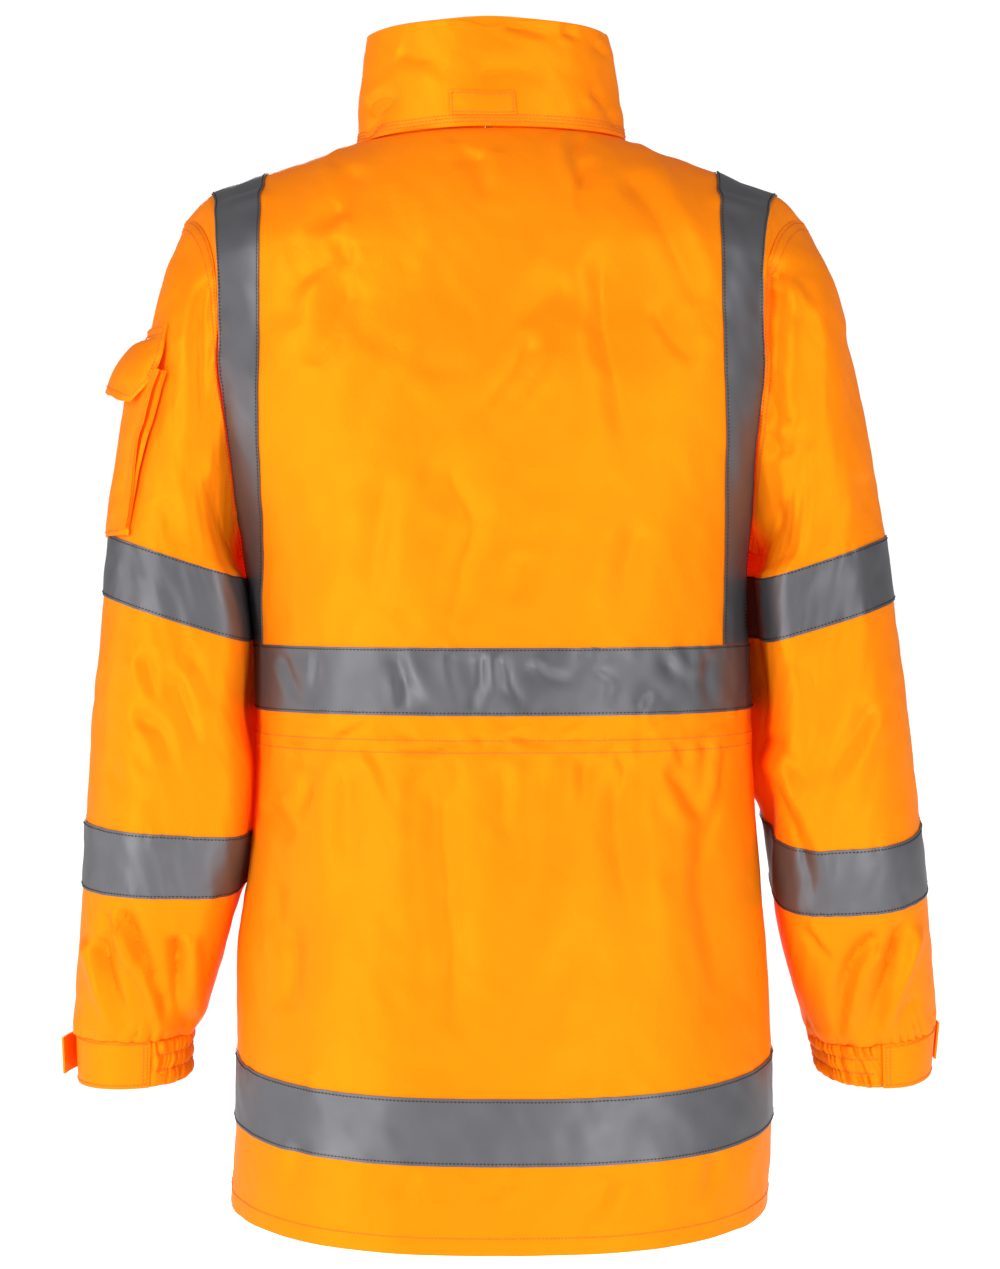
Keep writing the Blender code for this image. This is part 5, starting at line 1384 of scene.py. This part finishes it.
class JACKET_OT_brace_tapes(bpy.types.Operator):
    """Model the reflective tapes from the waist up over the shoulders"""
    bl_idname = "jacket.brace_tapes"
    bl_label = "Brace tapes"

    def execute(self, context):
        wall = context.scene.jacket_cloth.tape_wall
        levels = (WAIST_TAPE_LEVELS[1], TOP_EDGE)
        columns = (CENTRE_COLUMNS, BRACE_COLUMNS)
        inset = EDGE_STEP * (BRACE_COLUMNS - CENTRE_COLUMNS)
        for hand, side in SIDES.items():
            back = body()["back"].part(rows=levels, columns=sorted(side * column for column in columns))
            front = body()[f"front_{hand}"].part(rows=levels, columns=columns)
            behind = back.grid if side > 0 else back.grid[:, ::-1]
            strip = np.concatenate([behind[:-1], front.grid[-2::-1]])
            rows = np.arange(len(strip))
            face = Surface(strip, rows, front.columns, axis_of(strip)).moved(BRACE_GAP + wall)
            face.grid[0] += (face.grid[1] - face.grid[0]) * BRACE_END_STEP
            face.grid[-1] += (face.grid[-2] - face.grid[-1]) * BRACE_END_STEP
            runs = [column_run(face, column) for column in (CENTRE_COLUMNS + inset, BRACE_COLUMNS - inset)]
            piece, thread = tape_band(f"tape_brace_{hand}", face, wall, runs)
        return {"FINISHED"}


class JACKET_OT_sleeves(bpy.types.Operator):
    """Model the sleeves with their reflective bands and armhole stitching"""
    bl_idname = "jacket.sleeves"
    bl_label = "Sleeves"

    def execute(self, context):
        cloth = context.scene.jacket_cloth
        roll, reach = EDGE_ROLL
        for hand in SIDES:
            face = sleeve(hand)
            rolled = face.moved(-roll * np.exp(-face.along() / reach))
            piece = orange_piece(f"sleeve_{hand}", rolled, cloth.cloth_wall)
            thread = orange_seams(f"sleeve_{hand}", [even_run(rolled, off) for off in ARMHOLE_STITCHES])
            for band, hoops in (("upper", UPPER_BAND_HOOPS), ("lower", LOWER_BAND_HOOPS)):
                arm_band(f"tape_{band}_arm_{hand}", face.part(rows=hoops), hoops, cloth.tape_wall)
        return {"FINISHED"}


def arm_band(name, strip, hoops, wall):
    """A reflective band round a sleeve."""
    face = strip.moved(SEAM_GAP + wall)
    face.grid[:, -1] = face.grid[:, 0]
    runs = [row_run(face, row) for row in (hoops[0] + EDGE_STEP, hoops[1] - EDGE_STEP)]
    piece, thread = tape_band(name, face, wall, runs)
    girth = float(face.across()[:, -1].mean())


# ---- the collar
def collar_face(inset, base_lift, top_lift, dip, crown):
    """A layer of the stand collar, inset from its outer face. Behind, its rim sags or rises."""
    half = math.asin(ZIP_HALF_OPENING / NECK_HALF_WIDTH)
    turn = np.linspace(half - math.pi, math.pi - half, 181)
    front = np.maximum(-np.cos(turn), 0)
    rows = np.linspace(0, len(COLLAR["height"]) - 1, 34)
    height, half_width, back, ahead = (eased(COLLAR[name], rows)[:, None] for name in COLLAR)
    depth = np.where(np.cos(turn) > 0, back, ahead) - inset
    low = -NECK_DROP * front ** NECK_DROP_POWER + base_lift - NECK_TILT * np.maximum(np.sin(turn), 0) ** 2
    rim = COLLAR_TOP_BACK + (COLLAR_TOP_FRONT - COLLAR_TOP_BACK) * front ** NECK_DROP_POWER + top_lift
    rim = rim - COLLAR_SIDE_DROP * np.sin(turn) ** 4
    x = SHOULDER_SHIFT + (half_width - inset) * np.sin(turn) + COLLAR_LEAN * smooth(height * 2)
    behind = np.cos(turn) > 0
    for drop, (middle, reach) in ((dip, COLLAR_DIP_PLACE), (-crown, COLLAR_CROWN_PLACE)):
        rim = rim - np.where(behind, drop * np.exp(-((x[-1] - middle) / reach) ** 2), 0)
    grid = np.stack([x, depth * np.cos(turn), low + (rim - low) * height], -1)
    return Surface(grid, rows, turn, grid.mean(axis=1, keepdims=True))


class JACKET_OT_collar(bpy.types.Operator):
    """Model the stand collar's two layers, its topstitching and the small patch behind"""
    bl_idname = "jacket.collar"
    bl_label = "Collar"

    def execute(self, context):
        cloth = context.scene.jacket_cloth
        outer = collar_face(0, COLLAR_GAP, 0, COLLAR_DIP, 0)
        across, along = outer.across() + NET_START, outer.along()
        behind = np.cos(outer.columns) > 0
        height = cloth.fold_depth * creased(outer.grid, COLLAR_CREASES) * behind
        broad, fine = (depth * ripples(across, along, cell, SEEDS["collar"] + number)
                       for number, (depth, cell) in enumerate(COLLAR_LAYERS))
        height += broad + fine
        for number, row in enumerate(COLLAR_PUCKERED_ROWS):
            off_row = distance_to_row(outer, along, row)
            height += puckers(across, off_row, *COLLAR_PUCKERS, SEEDS["collar_rows"] + number)
        outer = outer.moved(height * smooth(along / FLAT_AT_NECKLINE))
        piece = orange_piece("collar_outer", outer, cloth.cloth_wall)
        thread = orange_seams("collar", [even_run(outer, off) for off in COLLAR_STITCHES])
        inner = collar_face(cloth.cloth_wall + LINING_GAP, *LINING_LIFT, 0, COLLAR_CROWN)
        depth, cell = LINING_LAYER
        net = ripples(inner.across() + LINING_NET_START, inner.along(), cell, SEEDS["collar"] + 2)
        piece = orange_piece("collar_inner", inner.moved(depth * net - depth), cloth.cloth_wall)
        self.patch(outer, cloth.tape_wall)
        return {"FINISHED"}

    def patch(self, outer, wall):
        """The small patch sewn low on the collar's middle."""
        width, tall = PATCH_SIZE
        x = np.linspace(-width / 2, width / 2, 18) + PATCH_PLACE[0]
        off = np.linspace(0, tall, 9) + PATCH_PLACE[1]
        middle = len(outer.columns) // 2
        rows = np.interp(off, outer.along()[:, middle], outer.rows)
        grid, _ = outer.at(rows[:, None], (x / NECK_HALF_WIDTH)[None])
        inside = grid.mean(axis=(0, 1), keepdims=True) * (1, 0, 1)
        bulge = np.sin(np.linspace(0, math.pi, 18))[None] * np.sin(np.linspace(0, math.pi, 9))[:, None]
        face = Surface(grid, off, x, inside).moved(PATCH_GAP + wall + PATCH_BULGE * bulge)
        piece = orange_piece("collar_patch", face, wall)
        inset = PATCH_STITCH_INSET
        runs = [row_run(face, off[0] + inset), row_run(face, off[-1] - inset)]
        runs += [column_run(face, place) for place in (x[0] + inset, x[-1] - inset)]
        thread = orange_seams("collar_patch", runs)


# ---- the cuffs
def hoop_centre(hand, rows):
    """The sleeve's middle at the cuff, once for each row."""
    round_turn = np.linspace(0, 2 * math.pi, 13)[:-1]
    centre = hoop(hand, CUFF_EDGE_HOOP, round_turn).mean(axis=0)
    return np.array([[[centre[0], centre[1], row[:, 2].mean()]] for row in rows])


def cuff_face(hand, start, end, draw_in, columns, span=(-CUFF_TUCK[0], 1)):
    """A part of a cuff's outer face between two turns, in degrees, its top tucked into the sleeve."""
    turn = np.radians(np.linspace(start, end, columns))
    top = hoop(hand, SLEEVE_END_HOOP, turn) - (0, 0, CUFF_HEIGHT_GAP)
    bottom = hoop(hand, CUFF_EDGE_HOOP, turn)
    rows = np.linspace(*span, 23)
    grid = top[None] + (bottom - top)[None] * rows[:, None, None]
    tucked = CUFF_TUCK[1] * (1 - smooth(rows / CUFF_TUCK[0] + 0.3))[:, None]
    return Surface(grid, rows, np.linspace(0, 1, columns), hoop_centre(hand, grid)).moved(-draw_in - tucked)


class JACKET_OT_cuffs(bpy.types.Operator):
    """Model the half gathered cuffs with their hook-and-loop straps"""
    bl_idname = "jacket.cuffs"
    bl_label = "Cuffs"

    def execute(self, context):
        cloth = context.scene.jacket_cloth
        for number, hand in enumerate(SIDES):
            low, high = CUFF_ELASTIC[hand]
            under = ELASTIC_TUCK[0]
            elastic = cuff_face(hand, low - under, high + under, ELASTIC_DRAW_IN, 181)
            self.gathered(hand, elastic, cloth, SEEDS["elastic"] + number)
            self.flat_band(hand, cuff_face(hand, high, low + 360, 0, 60), cloth, SEEDS["band"] + number)
            self.strap(hand, cloth)
        return {"FINISHED"}

    def gathered(self, hand, face, cloth, seed):
        """The elastic half: uneven pleats, pinched by two rows of sewing into three tiers."""
        across, off = face.across() + NET_START, np.maximum(face.rows, 0)[:, None]
        puff = np.abs(np.sin(math.pi * off * GATHER_ROWS)) ** 0.6
        tier = np.floor(off * GATHER_ROWS)
        stray, cell = PLEAT_LEAN
        lean = across + stray * ripples(across, face.along(), cell, seed + 4)
        pleat = 2 * np.abs(ripples(lean, tier * 0.55, (cloth.pleat_width * 0.62, 1), seed)) ** 0.55 - 1
        ends = smooth(np.minimum(face.columns, 1 - face.columns) / 0.05)
        height = (PLEAT_HEIGHT * pleat * (0.5 + 0.5 * puff) + PUFF_HEIGHT * puff - PUFF_SINK) * ends
        face = face.moved(height - ELASTIC_TUCK[1] * (1 - ends))
        piece = orange_piece(f"cuff_elastic_{hand}", face, cloth.cloth_wall)
        runs = [row_run(face, row / GATHER_ROWS, (0.04, 0.96)) for row in range(1, GATHER_ROWS)]
        thread = orange_seams(f"cuff_elastic_{hand}", runs)

    def flat_band(self, hand, face, cloth, seed):
        """The flat half, with stitching round its edges."""
        depth, cell = BAND_LAYER
        face = face.moved(depth * ripples(face.across() + NET_START, face.along(), cell, seed))
        piece = orange_piece(f"cuff_band_{hand}", face, cloth.cloth_wall)
        runs = [row_run(face, row, (0.01, 0.99)) for row in (0.07, 0.93)]
        runs += [column_run(face, column, (0.03, 0.97)) for column in (0.015, 0.035, 0.985, 0.965)]
        thread = orange_seams(f"cuff_band_{hand}", runs)

    def strap(self, hand, cloth):
        """The hook-and-loop strap, its free end standing off the cuff."""
        sewn, free, stand_off = CUFF_TAB[hand]
        face = cuff_face(hand, sewn, free, 0, 30, STRAP_SPAN)
        rise = face.columns ** 2 * stand_off
        face = face.moved(STRAP_GAP + cloth.cloth_wall + np.broadcast_to(rise, face.grid.shape[:2]))
        piece = orange_piece(f"cuff_tab_{hand}", face, cloth.cloth_wall)
        edges = (face.rows[0] + STRAP_STITCH_INSET, face.rows[-1] - STRAP_STITCH_INSET)
        runs = [row_run(face, row, (0.02, 0.97)) for row in edges]
        runs += [column_run(face, 0.96), column_run(face, 0.05)]
        thread = orange_seams(f"cuff_tab_{hand}", runs)


# ---- the sleeve pocket
def on_sleeve(face, height, columns, rise):
    """A face laid on the sleeve at the given heights and columns, and raised off it."""
    place = np.interp(columns, face.columns, np.arange(len(face.columns)))
    low = np.minimum(place.astype(int), len(face.columns) - 2)
    rows = np.empty(columns.shape)
    for spot in np.ndindex(columns.shape):
        right = place[spot] - low[spot]
        line = face.grid[:, low[spot], 2] * (1 - right) + face.grid[:, low[spot] + 1, 2] * right
        rows[spot] = np.interp(-height[spot], -line, face.rows)
    points, normals = face.at(rows, columns)
    middle = points_at(rows, face.rows, face.grid.mean(axis=1))
    steps = [np.linspace(0, 1, count) for count in columns.shape]
    return Surface(points + normals * rise[..., None], *steps, middle)


def table_rows(table_columns, count):
    """A table's columns read at even stops from its first row to its last."""
    stops = np.linspace(0, len(table_columns["z"]) - 1, count)
    return {name: eased(values, stops)[:, None] for name, values in table_columns.items()}


class JACKET_OT_pocket(bpy.types.Operator):
    """Model the pen pocket and its flap on the left upper sleeve"""
    bl_idname = "jacket.pocket"
    bl_label = "Sleeve pocket"

    def execute(self, context):
        wall = context.scene.jacket_cloth.cloth_wall
        face = sleeve("left")
        self.bellows(face, wall)
        self.flap(face, wall)
        return {"FINISHED"}

    def bellows(self, face, cloth_wall):
        """The pocket itself: a raised panel with a folded side that closes on the sleeve at its foot."""
        rows = table_rows(POCKET_ROWS, 60)
        across = np.linspace(0, 1, 41)[1:]
        last, foot = POCKET_FRONT_COLUMNS
        wall = rows["start"] + POCKET_WALL["column"]
        panel = wall[:, -1:] + (last - wall[:, -1:]) * across
        front = np.broadcast_to(np.linspace(last, foot, 4)[1:], (60, 3))
        panel_rise = rows["side_rise"] + (rows["rise"] - rows["side_rise"]) * smooth(across * 3)
        front_rise = rows["rise"] * np.array(POCKET_FRONT_RISE)
        rise = np.concatenate([rows["side_rise"] * POCKET_WALL["rise"], panel_rise, front_rise], axis=1)
        columns = np.concatenate([wall, panel, front], axis=1)
        height = np.broadcast_to(rows["z"], columns.shape)
        bellows = on_sleeve(face, height, columns, POCKET_GAP + cloth_wall + rise * POCKET_DEPTH)
        depth, cell = POCKET_LAYER
        dents = depth * ripples(bellows.across() + NET_START, bellows.along(), cell, SEEDS["pocket"])
        on_panel = smooth((np.arange(columns.shape[1]) - len(POCKET_WALL["rise"])) / 6)
        bellows = bellows.moved(dents * on_panel * smooth((1 - bellows.columns) * 12))
        piece = orange_piece("pocket_bellows", bellows, cloth_wall)
        edge = bellows.columns[len(POCKET_WALL["rise"]) - 1]
        runs = [column_run(bellows, edge, (0.02, 0.98)), row_run(bellows, 0.97, (edge, 0.94))]
        thread = orange_seams("pocket_bellows", runs)

    def flap(self, face, cloth_wall):
        """The stiff flap: sewn down along its top, then bent out over the pocket's mouth."""
        rows = table_rows(FLAP_ROWS, 34)
        across = np.linspace(0, 1, 44)
        columns = rows["start"] + (FLAP_FRONT_COLUMN - rows["start"]) * across
        middle = np.sin(math.pi * across) ** 0.7
        rise = rows["side_rise"] + (rows["rise"] - rows["side_rise"]) * middle
        hanging = np.linspace(0, 1, 34)[:, None] ** 2
        height = rows["z"] - FLAP_SLANT * hanging * (1 - smooth(across * 2.2))
        flap = on_sleeve(face, height, columns, FLAP_GAP + cloth_wall + rise * FLAP_REACH)
        depth, cell = FLAP_LAYER
        dents = depth * ripples(flap.across() + NET_START, flap.along(), cell, SEEDS["flap"])
        flap = flap.moved(dents * smooth(flap.rows * 4)[:, None])
        piece = orange_piece("pocket_flap", flap, cloth_wall)
        runs = [row_run(flap, row, (0.03, 0.97)) for row in (0.05, 0.2, 0.95)]
        runs += [column_run(flap, column, (0.05, 0.95)) for column in (0.03, 0.97)]
        thread = orange_seams("pocket_flap", runs)


# ---- the zip
class JACKET_OT_zip(bpy.types.Operator):
    """Finish the zip: its teeth and woven edges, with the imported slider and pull"""
    bl_idname = "jacket.zip"
    bl_label = "Zip"

    def execute(self, context):
        pitch = context.scene.jacket_cloth.tooth_pitch
        low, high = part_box("zip_chain")
        fronts = [body()[f"front_{hand}"].grid[:, 0] for hand in SIDES]
        collar = collar_face(0, COLLAR_GAP, 0, 0, 0).grid
        line = np.concatenate([(fronts[0] + fronts[1]) / 2, (collar[1:, 0] + collar[1:, -1]) / 2])
        stops = np.arange(low[2] + ZIP_END, high[2] - ZIP_END, pitch)
        at = points_at(stops, line[:, 2], line)
        along = unit(np.gradient(at, axis=0))
        left = np.broadcast_to((1.0, 0.0, 0.0), at.shape)
        side = left * np.where(np.arange(len(at)) % 2, 1, -1)[:, None]
        out = np.cross(along, left)
        out *= np.sign(-out[:, 1:2])
        across, breadth, height = TOOTH_SIZE
        aside, behind = TOOTH_PLACE
        frames = (at + side * aside - out * behind, side * across,
                  along * pitch * breadth * np.sign(side[:, :1]), out * height)
        teeth = joined_copies("zip_teeth", tooth_template(), frames, zip_plastic())
        settled(teeth, "zip_coil", "zip_chain")
        for node in ("zip_slider", "zip_pull"):
            piece = frame["nodes"][node]
            for place in range(len(piece.material_slots)):
                piece.material_slots[place].material = zip_nickel()
        for hand, mark in SIDES.items():
            edges = np.array([at + (mark * off, ZIP_TAPE_BEHIND, 0) for off in ZIP_TAPE_COLUMNS])
            woven = Surface(edges.transpose(1, 0, 2), np.arange(len(at)), np.arange(len(edges)),
                            at[:, None] + (0, 0.05, 0))
            piece = settled(cloth_piece(f"zip_tape_{hand}", woven, ZIP_TAPE_WALL, orange_satin()), "zip_coil")
        return {"FINISHED"}


@functools.lru_cache(maxsize=1)
def tooth_template():
    """One zip tooth: a small block with its head narrowed and its edges broken."""
    bpy.ops.mesh.primitive_cube_add(size=1)
    tooth = bpy.context.object
    choose_only(tooth)
    bpy.ops.object.mode_set(mode="EDIT")
    bpy.ops.mesh.select_mode(type="FACE")
    shape = bmesh.from_edit_mesh(tooth.data)
    for towards, inset, move in (((-1, 0, 0), 0.12, (-0.12, 0, 0)), ((0, 0, 1), 0.18, (0, 0, 0.12))):
        bpy.ops.mesh.select_all(action="DESELECT")
        for face in shape.faces:
            face.select = face.normal.dot(towards) > 0.9
        bmesh.update_edit_mesh(tooth.data)
        bpy.ops.mesh.inset(thickness=inset)
        bpy.ops.transform.translate(value=move)
    bpy.ops.object.mode_set(mode="OBJECT")
    return template_of(tooth)


# ---- the stage
class JACKET_OT_stage(bpy.types.Operator):
    """Set up the pale floor, soft lights, camera and sky"""
    bl_idname = "jacket.stage"
    bl_label = "Studio"

    def execute(self, context):
        studio = context.scene.jacket_studio
        self.floor(studio)
        self.lights()
        self.sky()
        camera = bpy.data.objects.new("camera", bpy.data.cameras.new("camera"))
        context.scene.collection.objects.link(camera)
        camera.location = (0, studio.distance, studio.height)
        camera.rotation_euler = (math.pi / 2, 0, math.pi)
        camera.data.lens = studio.lens
        camera.data.sensor_width = 36
        context.scene.camera = camera
        context.scene.view_settings.view_transform = "Standard"
        return {"FINISHED"}

    def floor(self, studio):
        """A wide pale disc under the jacket."""
        bpy.ops.mesh.primitive_circle_add(vertices=96, radius=30, fill_type="NGON",
                                          location=(0, 0, studio.floor_height))
        floor = bpy.context.object
        floor.name = "studio_floor"
        made, tree, shader, place = new_material("matt painted floor, pale")
        # The paint's tone drifts over about a third of a metre.
        grain = add_node(tree, "TexNoise", {"Vector": place["Object"], "Scale": 3.0, "Detail": 3.0})
        code = bpy.context.scene.jacket_colours.floor
        base = add_node(tree, "Mix", {
            "Factor": grain.outputs["Fac"], MIX_LOW: opaque(code), MIX_HIGH: opaque(code, 0.985)},
            data_type="RGBA")
        # The lamps under a studio floor make it white to look at, and light what stands over it less.
        path = add_node(tree, "LightPath")
        glow = add_node(tree, "MapRange", {
            "Value": path.outputs["Is Camera Ray"], "To Min": 0.62, "To Max": 0.9})
        wire(tree, shader, {
            "Base Color": base.outputs[MIXED], "Roughness": 0.9, "Emission Color": (1, 1, 1, 1),
            "Emission Strength": glow.outputs["Result"]})
        floor.data.materials.append(made)

    def lights(self):
        """Soft boxes: three at the corners and one in the middle behind, one beside and one in front."""
        boxes = (
            ("soft box left high", (2.2, 2.5, 1.0), (1.0, 1.0), 42),
            ("soft box left low", (2.2, 2.5, -1.1), (1.0, 1.0), 31),
            ("soft box right high", (-2.2, 2.4, 0.9), (1.0, 1.0), 29),
            ("soft box middle", (-1.2, 2.6, -1.1), (0.8, 0.8), 18),
            ("soft box side", (3.0, 0.0, -0.2), (1.2, 1.2), 12),
            ("soft box front", (0.3, -3.0, 0.4), (1.2, 1.2), 40))
        aim = Vector((0, 0, -0.42))
        for name, place, size, power in boxes:
            data = bpy.data.lights.new(name, "AREA")
            data.shape, (data.size, data.size_y), data.energy = "RECTANGLE", size, power
            light = bpy.data.objects.new(name, data)
            bpy.context.scene.collection.objects.link(light)
            light.location = place
            light.rotation_euler = (aim - Vector(place)).to_track_quat("-Z", "Y").to_euler()

    def sky(self):
        """A white surround that lights the cloth more softly than it looks."""
        world = bpy.data.worlds.new("studio surround")
        world.use_nodes = True
        bpy.context.scene.world = world
        tree = world.node_tree
        tree.nodes.clear()
        path = add_node(tree, "LightPath")
        seen = add_node(tree, "Background", {"Color": (1, 1, 1, 1), "Strength": 1.05})
        lit = add_node(tree, "Background", {"Color": (1, 1, 1, 1), "Strength": 0.3})
        chosen = add_node(tree, "MixShader", {
            0: path.outputs["Is Camera Ray"], 1: lit.outputs[0], 2: seen.outputs[0]})
        add_node(tree, "OutputWorld", {"Surface": chosen.outputs[0]})


class JACKET_PT_sidebar(bpy.types.Panel):
    """Lists the jacket's pieces, sizes and colours."""
    bl_label = "Hi-vis work jacket"
    bl_idname = "JACKET_PT_sidebar"
    bl_space_type = "VIEW_3D"
    bl_region_type = "UI"
    bl_category = "Jacket"

    def draw(self, context):
        layout = self.layout
        for operator in OPERATORS:
            layout.operator(operator.bl_idname)
        for group in (context.scene.jacket_cloth, context.scene.jacket_colours, context.scene.jacket_studio):
            box = layout.box()
            for name in type(group).__annotations__:
                box.prop(group, name)


OPERATORS = (JACKET_OT_body, JACKET_OT_body_tapes, JACKET_OT_brace_tapes, JACKET_OT_sleeves, JACKET_OT_collar,
             JACKET_OT_cuffs, JACKET_OT_pocket, JACKET_OT_zip, JACKET_OT_stage)
GROUPS = {"jacket_cloth": JacketCloth, "jacket_colours": JacketColours, "jacket_studio": JacketStudio}


def register():
    """Register the classes and hang the property groups on the scene."""
    for kind in (*GROUPS.values(), *OPERATORS, JACKET_PT_sidebar):
        bpy.utils.register_class(kind)
    for name, kind in GROUPS.items():
        setattr(bpy.types.Scene, name, PointerProperty(type=kind))


def unregister():
    """Take the property groups and the classes away again."""
    for name in GROUPS:
        delattr(bpy.types.Scene, name)
    for kind in (JACKET_PT_sidebar, *reversed(OPERATORS), *GROUPS.values()):
        bpy.utils.unregister_class(kind)


def main():
    """Build every piece in order."""
    register()
    for loaded in bpy.context.view_layer.objects:
        loaded.select_set(False)
    for operator in OPERATORS:
        group, name = operator.bl_idname.split(".")
        getattr(getattr(bpy.ops, group), name)()


if __name__ == "__main__":
    main()
